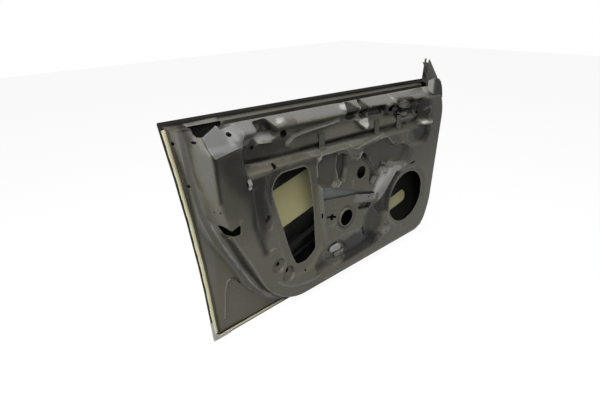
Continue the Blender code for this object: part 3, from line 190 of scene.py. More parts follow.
def belt_line(x):
    """Height of the skin's belt edge."""
    return BELT_REAR + BELT_FALL * x


def skin_depth(x, z):
    """Depth of the skin's outer surface: bulged in the middle, tucked in below."""
    share = z / BELT_REAR
    along = (x - DOOR_LENGTH / 2) / (DOOR_LENGTH / 2)
    return (SILL_TUCK * (1 - share) ** 2 - SIDE_BULGE * share * (1 - share)
            - LENGTH_BULGE * (1 - along ** 2))


def rounded(corners, arc_step=FINE_ARC):
    """Closed outline whose corners (x, z, radius) are arcs."""
    outline = []
    count = len(corners)
    for index in range(count):
        before = Vector(corners[index - 1][:2])
        here = Vector(corners[index][:2])
        after = Vector(corners[(index + 1) % count][:2])
        radius = corners[index][2]
        back = (before - here).normalized()
        onward = (after - here).normalized()
        turn = math.pi - back.angle(onward)
        if radius <= 0 or turn < 0.01:
            outline.append(here)
            continue
        reach = radius * math.tan(turn / 2)
        limit = 0.49 * min((before - here).length, (after - here).length)
        if reach > limit:
            radius *= limit / reach
            reach = limit
        centre = here + (back + onward).normalized() * radius / math.cos(turn / 2)
        spoke = here + back * reach - centre
        side = 1 if (-back).cross(onward) > 0 else -1
        steps = max(1, round(turn / arc_step))
        for step in range(steps + 1):
            outline.append(centre + Matrix.Rotation(side * turn * step / steps, 2) @ spoke)
    return np.array([tuple(point) for point in outline])


def subdivided(outline, spacing, closed=True):
    """The outline with points added so that no step is longer than the spacing."""
    points = []
    count = len(outline)
    for index in range(count if closed else count - 1):
        start = outline[index]
        end = outline[(index + 1) % count]
        steps = max(1, math.ceil(np.linalg.norm(end - start) / spacing))
        points += [start + (end - start) * step / steps for step in range(steps)]
    if not closed:
        points.append(outline[-1])
    return np.array(points)


def normals(outline):
    """Outward unit normals at the points of a closed counterclockwise outline."""
    onward = np.roll(outline, -1, axis=0) - outline
    onward /= np.maximum(np.linalg.norm(onward, axis=1), 1e-9)[:, None]
    tangent = onward + np.roll(onward, 1, axis=0)
    tangent /= np.maximum(np.linalg.norm(tangent, axis=1), 1e-9)[:, None]
    stretch = 1 / np.clip((tangent * onward).sum(axis=1), 0.5, 1)
    return np.stack([tangent[:, 1], -tangent[:, 0]], axis=1) * stretch[:, None]


def offset(outline, distance):
    """Closed counterclockwise outline moved outward by a distance, or by one a point."""
    return outline + normals(outline) * np.reshape(distance, (-1, 1))


def inside(points, outline):
    """Whether each point lies inside a closed outline."""
    found = np.zeros(len(points), dtype=bool)
    low = outline.min(axis=0)
    high = outline.max(axis=0)
    near = np.flatnonzero(((points >= low) & (points <= high)).all(axis=1))
    x0, z0 = outline[:, 0][None], outline[:, 1][None]
    x1, z1 = np.roll(outline, -1, axis=0).T[:, None, :]
    rise = np.where(z1 == z0, 1.0, z1 - z0)
    for start in range(0, len(near), 4000):
        some = near[start:start + 4000]
        x = points[some, 0][:, None]
        z = points[some, 1][:, None]
        crosses = (z0 > z) != (z1 > z)
        at = x0 + (z - z0) * (x1 - x0) / rise
        found[some] = (crosses & (x < at)).sum(axis=1) % 2 == 1
    return found


def triangulated(boundary, holes, creases, fill):
    """Triangles between a boundary and its holes that follow every crease line."""
    points = []
    edges = []
    for line, closed in [(boundary, True)] + [(hole, True) for hole in holes] + list(creases):
        first = len(points)
        points.extend(Vector(point) for point in line)
        last = len(points) - 1
        edges.extend((index, index + 1) for index in range(first, last))
        if closed:
            edges.append((last, first))
    points.extend(Vector(point) for point in fill)
    found = geometry.delaunay_2d_cdt(points, edges, [], 0, 2e-5, False)
    corners = np.array([tuple(point) for point in found[0]])
    triangles = np.array([face for face in found[2] if len(face) == 3])
    middles = corners[triangles].mean(axis=1)
    keep = inside(middles, np.asarray(boundary))
    for hole in holes:
        keep &= ~inside(middles, np.asarray(hole))
    used, renumbered = np.unique(triangles[keep], return_inverse=True)
    return corners[used], renumbered.reshape(-1, 3)


def grid_fill(boundary, spacing, clear, lines=()):
    """Staggered points inside a boundary that keep clear of the lines given."""
    low = boundary.min(axis=0)
    high = boundary.max(axis=0)
    rows = np.arange(low[1] + spacing / 2, high[1], spacing * 0.87)
    points = []
    for row, z in enumerate(rows):
        stations = np.arange(low[0] + spacing * (0.25 + 0.5 * (row % 2)), high[0], spacing)
        points.append(np.stack([stations, np.full(len(stations), z)], axis=1))
    points = np.concatenate(points)
    points = points[inside(points, boundary)]
    stops = np.concatenate([boundary] + [np.asarray(line) for line in lines])
    tree = kdtree.KDTree(len(stops))
    for index, (x, z) in enumerate(stops):
        tree.insert((x, z, 0.0), index)
    tree.balance()
    return np.array([point for point in points
                     if tree.find((point[0], point[1], 0.0))[2] > clear])


def in_row(x, depth, z):
    """Places in the row's frame from the door's own x, depth and height."""
    return np.column_stack([x, -np.asarray(depth), z]) - HINGE_PAD


def add_piece(name, places, faces, material, node, sharp=35.0):
    """Piece with smooth faces, riding on the door and standing for its CAD node."""
    mesh = bpy.data.meshes.new(name)
    mesh.from_pydata(np.asarray(places).tolist(), [], faces)
    solid = bmesh.new()
    solid.from_mesh(mesh)
    bmesh.ops.recalc_face_normals(solid, faces=solid.faces)
    solid.to_mesh(mesh)
    solid.free()
    mesh.materials.append(material)
    mesh.shade_smooth()
    mesh.set_sharp_from_angle(angle=math.radians(sharp))
    piece = bpy.data.objects.new(name, mesh)
    scene.collection.objects.link(piece)
    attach(piece, "root")
    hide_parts(node)
    return piece


def primer_group():
    """Node group of dipped primer: smudges, dust with painted top light, painted highlights on
    folds, painted shade in hollows, a ramp from painted shade to painted highlight, and grain.
    """
    group = bpy.data.node_groups.new("dipped_primer", "ShaderNodeTree")
    for name, kind, value in (
            ("Primer", "NodeSocketColor", (0.09, 0.083, 0.066, 1.0)),
            ("Dust", "NodeSocketColor", (0.22, 0.21, 0.17, 1.0)),
            ("Smudge", "NodeSocketFloat", 0.35), ("Dust And Top Light", "NodeSocketFloat", 0.35),
            ("Fold Highlight", "NodeSocketFloat", 0.4), ("Gloss Depth", "NodeSocketFloat", 0.30),
            ("Hollow Shade", "NodeSocketFloat", 0.6),
            ("Dust And Light", "NodeSocketFloat", 0.5),
            ("Bare", "NodeSocketColor", (0.008, 0.008, 0.008, 1.0)),
            ("Neutral", "NodeSocketColor", (0.140, 0.139, 0.134, 1.0)),
            ("Light", "NodeSocketColor", (0.48, 0.47, 0.44, 1.0))):
        socket = group.interface.new_socket(name, in_out="INPUT", socket_type=kind)
        socket.default_value = value
    for name, kind in (("Colour", "NodeSocketColor"), ("Roughness", "NodeSocketFloat"),
                       ("Grain", "NodeSocketFloat")):
        group.interface.new_socket(name, in_out="OUTPUT", socket_type=kind)
    links = group.links
    given = group.nodes.new("NodeGroupInput")
    result = group.nodes.new("NodeGroupOutput")
    where = shading(group, "TexCoord")
    shape = shading(group, "NewGeometry")

    def noise(scale, detail, roughness=0.55):
        node = shading(group, "TexNoise", Scale=scale, Detail=detail, Roughness=roughness)
        links.new(where.outputs["Object"], node.inputs["Vector"])
        return node.outputs["Fac"]

    def ranged(value, low, high, to_low=0.0, to_high=1.0):
        ends = {"From Min": low, "From Max": high, "To Min": to_low, "To Max": to_high}
        node = shading(group, "MapRange", **ends)
        links.new(value, node.inputs["Value"])
        return node.outputs["Result"]

    def times(one, two, operation="MULTIPLY"):
        node = shading(group, "Math")
        node.operation = operation
        for index, value in enumerate((one, two)):
            if isinstance(value, float):
                node.inputs[index].default_value = value
            else:
                links.new(value, node.inputs[index])
        return node.outputs[0]

    def blended(share, one, two):
        node = shading(group, "Mix")
        node.data_type = "RGBA"
        links.new(share, node.inputs["Factor"])
        for socket, value in ((node.inputs[6], one), (node.inputs[7], two)):
            if isinstance(value, tuple):
                socket.default_value = value
            else:
                links.new(value, socket)
        return node.outputs[2]

    smudges = ranged(noise(9.0, 4.0), 0.40, 0.68)
    specks = ranged(noise(160.0, 3.0), 0.52, 0.72)
    split = shading(group, "SeparateXYZ")
    links.new(shape.outputs["Normal"], split.inputs[0])
    # Dust settled on up-facing faces, which also paints their top light
    facing_up = ranged(split.outputs["Z"], 0.25, 0.85)
    dust_and_top_light = times(times(facing_up, given.outputs["Dust And Top Light"]),
                    ranged(noise(38.0, 4.0), 0.25, 0.70, 0.45, 1.0))
    # Painted highlight: sharp folds turn lighter where the mesh is pointy
    fold_highlights = times(ranged(shape.outputs["Pointiness"], 0.53, 0.62), given.outputs["Fold Highlight"])
    # Ramp from painted deep shade through primer and grey to the Light colour, which is a
    # painted highlight
    dust_and_light_level = times(given.outputs["Dust And Light"], times(smudges, 0.03), "ADD")
    colour = blended(ranged(dust_and_light_level, 0.05, 0.5), given.outputs["Bare"], given.outputs["Primer"])
    colour = blended(ranged(dust_and_light_level, 0.54, 0.78), colour, given.outputs["Neutral"])
    colour = blended(ranged(dust_and_light_level, 0.82, 1.0), colour, given.outputs["Light"])
    colour = blended(times(smudges, given.outputs["Smudge"]), colour, given.outputs["Dust"])
    colour = blended(times(dust_and_top_light, 1.0, "MINIMUM"), colour, given.outputs["Dust"])
    colour = blended(fold_highlights, colour, (0.30, 0.29, 0.25, 1.0))
    # Painted shade in the hollows, from ambient occlusion
    hollow = shading(group, "AmbientOcclusion", Distance=0.055)
    hollow.samples = 8
    hollow_shade = times(ranged(hollow.outputs["AO"], 0.30, 0.95, 1.0, 0.0), given.outputs["Hollow Shade"])
    colour = blended(hollow_shade, colour, (0.006, 0.006, 0.006, 1.0))
    links.new(colour, result.inputs["Colour"])
    rough = times(given.outputs["Gloss Depth"],
                  times(times(smudges, 0.10), times(specks, 0.05), "ADD"), "ADD")
    rough = times(rough, times(dust_and_top_light, 0.18), "ADD")
    links.new(rough, result.inputs["Roughness"])
    peel = times(noise(420.0, 2.0), times(noise(60.0, 2.0), 0.6), "ADD")
    links.new(peel, result.inputs["Grain"])
    return group


PRIMER = primer_group()


def dipped(name, primer, dust, smudge=0.35, dust_and_top_light=0.35, fold_highlight=0.4, rough=0.30, bump=0.06,
           metallic=0.0, coat=0.0, specular=0.4, hollow_shade=0.6, cover=None):
    """Primer material of one piece, with its own values in the shared group."""
    material = bpy.data.materials.new(name)
    material.use_nodes = True
    tree = material.node_tree
    shader = filled(tree.nodes["Principled BSDF"], **{
        "Metallic": metallic, "Coat Weight": coat, "Specular IOR Level": specular,
        "Coat Roughness": 0.12})
    group = shading(tree, "Group")
    group.node_tree = PRIMER
    filled(group, **{
        "Primer": (*primer, 1.0), "Dust": (*dust, 1.0), "Smudge": smudge, "Dust And Top Light": dust_and_top_light,
        "Fold Highlight": fold_highlight, "Gloss Depth": rough, "Hollow Shade": hollow_shade})
    if cover:
        spread = shading(tree, "Attribute")
        spread.attribute_name = cover
        tree.links.new(spread.outputs["Fac"], group.inputs["Dust And Light"])
    grain = shading(tree, "Bump", Strength=bump, Distance=0.001)
    tree.links.new(group.outputs["Colour"], shader.inputs["Base Color"])
    tree.links.new(group.outputs["Roughness"], shader.inputs["Roughness"])
    tree.links.new(group.outputs["Grain"], grain.inputs["Height"])
    tree.links.new(grain.outputs["Normal"], shader.inputs["Normal"])
    return material


def skin_outline():
    """Edge of the outer skin, counterclockwise seen from the cabin."""
    top_front = front(0.015)
    corners = [
        (0.0, belt_line(0.0), 0.004), (0.034, 0.46, 1.5), (REAR_LEAN + 0.005, 0.21, 1.0),
        (REAR_LEAN, 0.0, 0.008), (front(0.040), 0.0, 0.030), (front(0.008), 0.16, 0.40),
        (front(0.0), 0.36, 0.80), (top_front, belt_line(top_front), 0.010)]
    return subdivided(rounded(corners, math.radians(6.0)), 0.008)


SKIN = skin_outline()
skin_black = dipped("skin_primer", (0.016, 0.016, 0.015), (0.075, 0.075, 0.068),
                    smudge=0.12, dust_and_top_light=0.12, fold_highlight=0.05, rough=0.28, specular=0.15)


def outer_skin():
    """The outer sheet with its hem folded round its edge."""
    lip = 0.0008
    edge = offset(SKIN, -lip)
    fill = grid_fill(edge, spacing=0.022, clear=0.010)
    corners, triangles = triangulated(edge, [], [], fill)
    count = len(corners)
    rim = [int(np.argmin(np.hypot(*(corners - point).T))) for point in edge]
    inward = -normals(SKIN)
    sharp = np.array([(0.0, belt_line(0.0)), (REAR_LEAN, 0.0), (front(0.040), 0.0),
                      (front(0.015), belt_line(front(0.015)))])
    away = np.linalg.norm(SKIN[:, None] - sharp[None], axis=2).min(axis=1)
    belt = (SKIN[:, 1] > belt_line(SKIN[:, 0]) - 0.0005).astype(float)
    full = HEM_RETURN + (BELT_RETURN - HEM_RETURN) * belt
    width = np.clip(0.8 * away, 2.2 * SHEET, full)
    places = [in_row(corners[:, 0], skin_depth(*corners.T), corners[:, 1])]
    faces = triangles.tolist()
    inner = corners.copy()
    inner[rim] = SKIN + inward * 1.2 * SHEET
    places.append(in_row(inner[:, 0], skin_depth(*inner.T) + SHEET, inner[:, 1]))
    faces += (triangles[:, ::-1] + count).tolist()
    total = 2 * count
    rings = [rim]
    flat = np.zeros(len(SKIN))
    # Cross section of the fold: inset from the edge, and depth from the skin
    sections = [(flat + 0.0003, 0.0004), (flat, 0.0010), (flat, HEM_STACK - 0.0010),
                (flat + 0.0003, HEM_STACK - 0.0003), (flat + 0.0009, HEM_STACK),
                (width - 0.0004, HEM_STACK), (width, HEM_STACK - 0.0003),
                (width, HEM_STACK - SHEET), (flat + 1.2 * SHEET, HEM_STACK - SHEET)]
    for inset, depth in sections:
        line = SKIN + inward * inset[:, None]
        places.append(in_row(line[:, 0], skin_depth(*line.T) + depth, line[:, 1]))
        rings.append(list(range(total, total + len(SKIN))))
        total += len(SKIN)
    rings.append([index + count for index in rim])
    for one, two in zip(rings, rings[1:]):
        for index in range(len(SKIN)):
            after = (index + 1) % len(SKIN)
            faces.append((one[index], one[after], two[after], two[index]))
    add_piece("outer_skin_sheet", np.concatenate(places), faces, skin_black,
              "outer_skin")


outer_skin()


# Inner panel.
# The deep-drawn inner sheet: seal land, trim face, belt channel, beads, dishes and
# pierced holes, spot-welded into the skin's hem and dipped in the same primer.

TRIM_DEPTH = 0.095
RIM_START = 0.0155
RIM_RUN = 0.004
RIM_RISE = 0.006
LAND_DEPTH = 0.030
LAND_DRAFT = 0.20
LAND_CROWN = 0.6
SHUT_DRAFT = 0.35
HINGE_STEEPER = 0.21
BELT_EDGE_DROP = 0.0214
BELT_EDGE_DEPTH = 0.045
BELT_NOSE_DROP = 0.048
BELT_NOSE_DEPTH = 0.087
CHANNEL_LOW_DROP = 0.1416
LEDGE_DROP = 0.1586
CHANNEL_REAR = 0.178
CHANNEL_AHEAD = front(0.155)
CHANNEL_END_RUN = 0.022
SLOPE_FRONT = front(0.05)
STAIR_START = 0.074
STAIR_END = 0.150
STAIR_BLEND = 0.020
SPEAKER = (front(0.241), 0.215)
SPEAKER_RADIUS = 0.106
ROUND_HOLE = (0.581, 0.251)
FILLET = 0.30


def ellipse(x, z, across, high, turn=0.0, steps=32):
    """Closed ellipse with its long axis turned by an angle in degrees."""
    angles = np.linspace(0, 2 * math.pi, steps, endpoint=False)
    flat = np.stack([across * np.cos(angles), high * np.sin(angles)], axis=1)
    cosine = math.cos(math.radians(turn))
    sine = math.sin(math.radians(turn))
    return flat @ np.array([[cosine, sine], [-sine, cosine]]) + (x, z)


def circle(x, z, radius, steps=32):
    """Closed circle."""
    return ellipse(x, z, radius, radius, 0.0, steps)


def eased(value, fillet=FILLET):
    """Straight wall from 0 to 1 with a rounded foot and a rounded shoulder."""
    foot = np.where(value < fillet, np.maximum(value + fillet, 0) ** 2 / (4 * fillet), value)
    rest = 1 - foot
    return 1 - np.where(rest < fillet, np.maximum(rest + fillet, 0) ** 2 / (4 * fillet), rest)


def clamped(value):
    """Value held between 0 and 1."""
    return np.clip(value, 0.0, 1.0)


def face_outline():
    """Edge of the trim face, where the shut face, the bottom and the hinge face begin."""
    top_rear = 0.070
    top_front = front(0.120)
    corners = [
        (top_rear, belt_line(top_rear) + 0.05, 0), (0.088, belt_line(0.088) - 0.149, 0.25),
        (0.104, 0.420, 0.20), (0.130, 0.335, 0.25), (0.186, 0.222, 0.30),
        (0.228, 0.115, 0.22), (0.325, 0.031, 0.16), (front(0.112), 0.031, 0.10),
        (front(0.072), 0.145, 0.20), (front(0.0455), belt_line(front(0.0455)) - 0.0995, 0.15),
        (top_front, belt_line(top_front) + 0.05, 0)]
    return subdivided(rounded(corners, math.radians(5.0)), 0.007)


def land_level(x, z):
    """Depth of the seal land between the hem and the trim face."""
    return LAND_DEPTH + LAND_CROWN * skin_depth(x, z)


# Edge of the trim face, the foot of its wall, and the far side of the seal land
FACE = face_outline()
face_out = normals(FACE)
FACE_DROP = (SHUT_DRAFT - HINGE_STEEPER * clamped(face_out[:, 0] * 1.6)) * (
    TRIM_DEPTH - land_level(FACE[:, 0], FACE[:, 1]))
FACE_FOOT = offset(FACE, FACE_DROP)
LAND = offset(FACE_FOOT, 0.018 - 0.013 * clamped(-normals(FACE_FOOT)[:, 1] * 2 - 0.9))


def line_distance(points, line, closed):
    """Distance of each point to a line."""
    start = line if closed else line[:-1]
    along = (np.roll(line, -1, axis=0) if closed else line[1:]) - start
    length = np.maximum((along ** 2).sum(-1), 1e-12)
    gap = np.empty(len(points))
    for first in range(0, len(points), 4000):
        rel = points[first:first + 4000, None, :] - start[None]
        share = np.clip((rel * along[None]).sum(-1) / length, 0, 1)
        miss = rel - share[..., None] * along[None]
        gap[first:first + 4000] = np.sqrt((miss ** 2).sum(-1).min(axis=1))
    return gap


def signed_distance(points, outline, reach=math.inf):
    """Distance to a closed outline, negative inside it; far points read the reach."""
    gap = np.full(len(points), float(reach))
    low = outline.min(axis=0) - reach
    high = outline.max(axis=0) + reach
    near = np.flatnonzero(((points > low) & (points < high)).all(axis=1))
    miss = line_distance(points[near], outline, True)
    gap[near] = np.where(inside(points[near], outline), -miss, miss)
    return gap


def counterclockwise(outline, spacing=math.inf):
    """The outline subdivided, and turned so that it runs counterclockwise."""
    outline = subdivided(outline, spacing)
    following = np.roll(outline, -1, axis=0)
    area = (outline[:, 0] * following[:, 1] - following[:, 0] * outline[:, 1]).sum()
    return outline if area > 0 else outline[::-1]


def drawn(*corners):
    """Closed outline from its corners (x, z, radius) in millimetres."""
    return rounded(np.array(corners) / 1000)


def pressed(outline, rise, wall, tilt=0.0):
    """Stamped form: its rise toward the cabin and wall run in millimetres, and its tilt."""
    return counterclockwise(outline, 0.006), rise / 1000, wall / 1000, tilt


def stamped(rise, wall, *corners, tilt=0.0):
    """Stamped form with rounded corners (x, z, radius), all in millimetres."""
    return pressed(drawn(*corners), rise, wall, tilt)


def ridge(rise, half, *places):
    """Pressed bead: rise, half width, and a line of places (x, z) in millimetres."""
    return subdivided(np.array(places) / 1000, 0.004, False), rise, half


FORMS = [
    # Flange sunk round the rear opening, and the pillar in front of it
    stamped(-8, 14, (236, 520, 70), (325, 125, 60), (405, 122, 50), (462, 180, 50),
            (446, 520, 50)),
    stamped(6, 5, (447, 500, 5), (452, 330, 50), (476, 185, 8), (492, 185, 8), (468, 330, 50),
            (460, 500, 5)),
    # Pocket, the groove beside it, and the moat in front of the plate
    stamped(-15, 8, (453, 503, 20), (535, 491, 10), (539, 444, 40), (531, 398, 10),
            (517, 386, 10), (456, 407, 10)),
    stamped(-14, 5, (543, 489, 4), (577, 478, 6), (578, 438, 20), (565, 394, 6),
            (544, 403, 4)),
    stamped(-13, 6, (655, 470, 6), (682, 450, 10), (712, 413, 20), (733, 364, 10),
            (712, 336, 6), (703, 352, 10), (703, 398, 10), (684, 430, 10), (656, 454, 6)),
    # Sunk ground under the wavy ledge, with two small bosses
    stamped(-13, 9, (650, 476, 10), (760, 492, 10), (785, 488, 10), (818, 455, 10),
            (870, 448, 20), (920, 430, 20), (900, 390, 20), (820, 400, 20), (745, 372, 20),
            (708, 430, 20)),
    pressed(circle(0.786, 0.394, 0.007, 20), 12, 4),
    pressed(circle(0.783, 0.376, 0.009, 20), 9, 4),
    # Sunk ground beside the upper hinge
    stamped(-14, 12, (925, 490, 20), (925, 440, 30), (1000, 430, 30), (1046, 452, 20),
            (1040, 490, 20)),
    # Hollow behind the speaker, and the broad arm over it
    stamped(-14, 12, (744, 248, 10), (773, 262, 20), (806, 294, 30), (854, 345, 20),
            (872, 332, 10), (838, 296, 30), (818, 255, 30), (814, 186, 20), (786, 195, 20)),
    stamped(9, 16, (821, 392, 6), (858, 380, 6), (898, 362, 6), (882, 346, 6), (854, 345, 10),
            (826, 322, 20), (799, 292, 20), (773, 268, 10), (745, 252, 10), (732, 271, 20),
            (737, 310, 20), (775, 338, 30), (808, 352, 20)),
    # Gap under the tongue, and the tongue with its small hole
    stamped(-12, 4, (645, 266, 3), (663, 279, 4), (713, 262, 4), (712, 248, 4), (650, 260, 3)),
    stamped(6, 4, (617, 296, 4), (631, 319, 8), (666, 321, 10), (727, 294, 4), (727, 276, 6),
            (709, 269, 10), (654, 283, 10)),
    # Dark ground that falls from the tongue to the sill
    stamped(-8, 20, (723, 249, 20), (767, 236, 20), (792, 192, 30), (770, 140, 30),
            (710, 120, 30), (681, 199, 30)),
    # Moat and collar of the round hole
    pressed(circle(ROUND_HOLE[0] + 0.006, ROUND_HOLE[1] - 0.006, 0.043, 48), -6, 8),
    pressed(circle(*ROUND_HOLE, 0.034, 48), 9, 4),
    # Square emboss with the cross-shaped slot
    stamped(-3, 5, (477, 306, 10), (475, 246, 12), (532, 240, 14), (540, 298, 14)),
    # Broad hollow at the bottom, deeper toward the sill, and the cup for the pad
    stamped(-13, 14, (425, 88, 20), (470, 150, 40), (560, 178, 80), (690, 165, 50),
            (752, 92, 20), tilt=0.14),
    stamped(-6, 5, (494, 115, 30), (520, 86, 30), (585, 80, 20), (598, 120, 30),
            (560, 162, 30), (505, 160, 30)),
    # Oval boss near the sill
    stamped(9, 8, (769, 124, 10), (790, 139, 10), (829, 134, 12), (836, 108, 12),
            (811, 95, 12), (784, 97, 12)),
    # Dishes, small boss, keyhole dimple and long shallow groove on the rear strip
    pressed(circle(0.277, 0.188, 0.022), -8, 4),
    pressed(circle(0.317, 0.137, 0.023), -8, 4),
    pressed(circle(0.259, 0.244, 0.012, 24), 3, 6),
    pressed(ellipse(0.250, 0.353, 0.013, 0.026), -5, 4),
    pressed(circle(0.249, 0.363, 0.008, 20), -10, 3),
    stamped(-4, 8, (205, 470, 20), (218, 300, 50), (226, 300, 50), (222, 470, 20)),
    # Collar along the latch opening
    stamped(3, 4, (150, 392, 3), (152, 350, 3), (160, 350, 3), (159, 392, 3)),
    # Arches, box and bosses in the belt channel
    pressed(ellipse(0.619, 0.612, 0.031, 0.022, -6), -14, 6),
    pressed(ellipse(0.678, 0.608, 0.020, 0.026), -14, 5),
    stamped(-7, 4, (705, 614, 5), (774, 608, 5), (780, 583, 5), (705, 586, 5)),
    stamped(12, 4, (633, 584, 2), (696, 580, 2), (698, 556, 2), (680, 544, 2), tilt=-0.35),
    pressed(ellipse(0.583, 0.634, 0.020, 0.007, 6), 8, 6),
    pressed(circle(0.826, 0.621, 0.010, 20), 6, 6),
    pressed(circle(0.808, 0.595, 0.022, 32), 12, 8),
    stamped(-11, 8, (836, 597, 20), (863, 614, 20), (934, 608, 20), (980, 567, 20),
            (967, 531, 20), (927, 514, 20), (875, 545, 20)),
    stamped(13, 6, (857, 596, 8), (890, 606, 10), (940, 588, 10), (946, 568, 8),
            (900, 574, 6)),
    pressed(ellipse(0.912, 0.552, 0.022, 0.009, -8), 12, 5),
    pressed(circle(1.030, 0.548, 0.012, 24), 8, 6),
    pressed(ellipse(1.028, 0.502, 0.030, 0.010), 9, 5),
]

LOWER_LINE = np.array(sorted(tuple(spot) for spot in offset(FACE, -0.012)
                             if spot[0] > 0.47 and spot[1] < 0.11))
BEADS = [
    # Wavy ledge across the middle, and the line over it
    ridge(0.0040, 0.0036, (449, 440), (450, 495), (466, 508), (495, 507), (545, 507),
          (568, 506), (588, 490), (606, 463), (624, 454), (641, 457), (647, 469), (668, 477),
          (758, 498), (784, 499), (819, 466), (842, 451), (884, 454)),
    ridge(0.0030, 0.0028, (600, 512), (606, 496), (626, 490), (646, 496), (700, 503),
          (783, 508)),
    # Low ridge down the rear strip, and the curl over the small boss
    ridge(0.0012, 0.0070, (232, 455), (229, 380), (228, 300), (232, 255)),
    ridge(0.0020, 0.0030, (246, 256), (259, 261), (272, 255)),
    # Rib beside the pocket and short bar at its foot
    ridge(0.0030, 0.0026, (541, 493), (541, 396)),
    ridge(0.0035, 0.0026, (534, 379), (557, 398)),
    # Low ring round the cross slot
    ridge(0.0019, 0.0030, (540, 296), (526, 304), (505, 305), (487, 296), (476, 280),
          (477, 262), (489, 247), (508, 241), (530, 244)),
    # Fine line along the channel's ledge
    ridge(0.0021, 0.0022, (192, 537), (247, 531), (303, 528), (384, 524), (465, 521),
          (583, 516), (700, 511)),
    # Short tick on the plate
    ridge(0.0030, 0.0030, (612, 356), (609, 384)),
    # Lower line of the plateau
    ridge(0.0022, 0.0040, (268, 132), (292, 108), (320, 90), (350, 78), (385, 70), (450, 66)),
    # The same line on along the foot of the face
    (subdivided(LOWER_LINE, 0.004, False), 0.0020, 0.0034),
    # Curved bead along the belt
    ridge(0.0060, 0.0100, (352, 566), (372, 579), (400, 585), (450, 589), (556, 596)),
]

# Bow pressed into the seal land near the rear corner
BOW, BOW_RISE, BOW_HALF = ridge(0.0040, 0.0034, (93, 56), (108, 113), (117, 149), (127, 168),
                                (138, 174), (148, 171), (168, 142))
# Painted highlight along the bow
BOW_HIGHLIGHT = 0.68

SLOPE_STEPS = [(BELT_EDGE_DROP, BELT_EDGE_DEPTH), (0.041, 0.083),
               (BELT_NOSE_DROP, BELT_NOSE_DEPTH), (0.056, TRIM_DEPTH)]
STAIR_STEPS = [(0.0184, 0.050), (0.064, 0.080), (0.069, 0.085), (0.080, TRIM_DEPTH)]
CHANNEL_STEPS = [(BELT_NOSE_DROP, BELT_NOSE_DEPTH), (0.066, 0.070), (0.075, 0.074),
                 (0.095, 0.066), (0.1215, 0.070), (CHANNEL_LOW_DROP, 0.062),
                 (LEDGE_DROP, TRIM_DEPTH)]


def belt_profile(drop, steps, easing=0.0018):
    """Depth against the drop below the belt line, with its folds eased."""
    drops = [step[0] for step in steps]
    depths = [step[1] for step in steps]
    shifts = np.array((-1.0, -0.5, 0.0, 0.5, 1.0)) * easing
    return sum(np.interp(drop + shift, drops, depths) for shift in shifts) / len(shifts)


PAN = counterclockwise(drawn(
    (243, 645, 5), (287, 646, 5), (298, 624, 6), (309, 605, 5), (285, 586, 8), (247, 590, 8),
    (231, 606, 6)), 0.006)
PAN_WALL = 0.004
PAN_FLOOR = 0.046
PAN_LEAN = 1.4
PAN_LEAN_TOP = 0.611
SEAT_RIM = 0.012
SEAT_WALL = 0.007
SEAT_STEP = 0.006
SPEAKER_SEAT = circle(*SPEAKER, SPEAKER_RADIUS + SEAT_RIM, 96)


def face_level(points):
    """Depth of the trim face with its belt, channel, stamped forms and beads."""
    x = points[:, 0]
    drop = belt_line(x) - points[:, 1]
    stairs = 1 - eased((x - STAIR_END) / STAIR_BLEND)
    depth = belt_profile(drop, SLOPE_STEPS) * (1 - stairs)
    depth += belt_profile(drop, STAIR_STEPS) * stairs
    channel = np.minimum(belt_profile(drop, CHANNEL_STEPS), TRIM_DEPTH)
    along = eased((x - CHANNEL_REAR) / CHANNEL_END_RUN)
    along *= eased((CHANNEL_AHEAD - x) / CHANNEL_END_RUN)
    within = clamped((drop - BELT_NOSE_DROP) / 0.001)
    depth += (channel - depth) * along * within
    for outline, rise, wall, tilt in FORMS:
        near = eased(1 - signed_distance(points, outline, 2 * wall) / wall)
        depth += near * (rise + (points[:, 1] - outline.mean(axis=0)[1]) * tilt)
    seat = eased(1 - signed_distance(points, SPEAKER_SEAT, 0.03) / SEAT_WALL)
    depth += seat * (TRIM_DEPTH - SEAT_STEP - depth)
    pan = eased(1 - signed_distance(points, PAN, 4 * PAN_WALL) / PAN_WALL)
    floor_depth = PAN_FLOOR + PAN_LEAN * np.maximum(PAN_LEAN_TOP - points[:, 1], 0)
    depth += pan * (floor_depth - depth)
    for line, rise, half in BEADS:
        low = line.min(axis=0) - half
        high = line.max(axis=0) + half
        near = np.flatnonzero(((points > low) & (points < high)).all(axis=1))
        share = clamped(1 - line_distance(points[near], line, False) / half)
        depth[near] += rise * share * share * (3 - 2 * share)
    return depth


def panel_depth(points):
    """Depth of the inner panel's cabin side."""
    x, z = points[:, 0], points[:, 1]
    inset = -signed_distance(points, SKIN)
    rise = eased((inset - RIM_START) / RIM_RUN)
    flange = skin_depth(x, z) + 2 * SHEET + WELD_GAP
    land = eased(1 - signed_distance(points, LAND) / (LAND_DRAFT * LAND_DEPTH))
    to_face = signed_distance(points, FACE)
    to_foot = signed_distance(points, FACE_FOOT)
    wall = eased(-to_foot / np.maximum(to_face - to_foot, 1e-6), 0.10)
    outer = flange + rise * (RIM_RISE + land * (land_level(x, z) - flange - RIM_RISE))
    outer += BOW_RISE * clamped(1 - line_distance(points, BOW, False) / BOW_HALF)
    return outer + (face_level(points) - outer) * wall * rise


def belt_run(start, end, drop, spacing=0.006):
    """Line parallel to the belt at a drop below it."""
    stations = np.linspace(start, end, max(2, round((end - start) / spacing)))
    return np.stack([stations, belt_line(stations) - drop], axis=1)


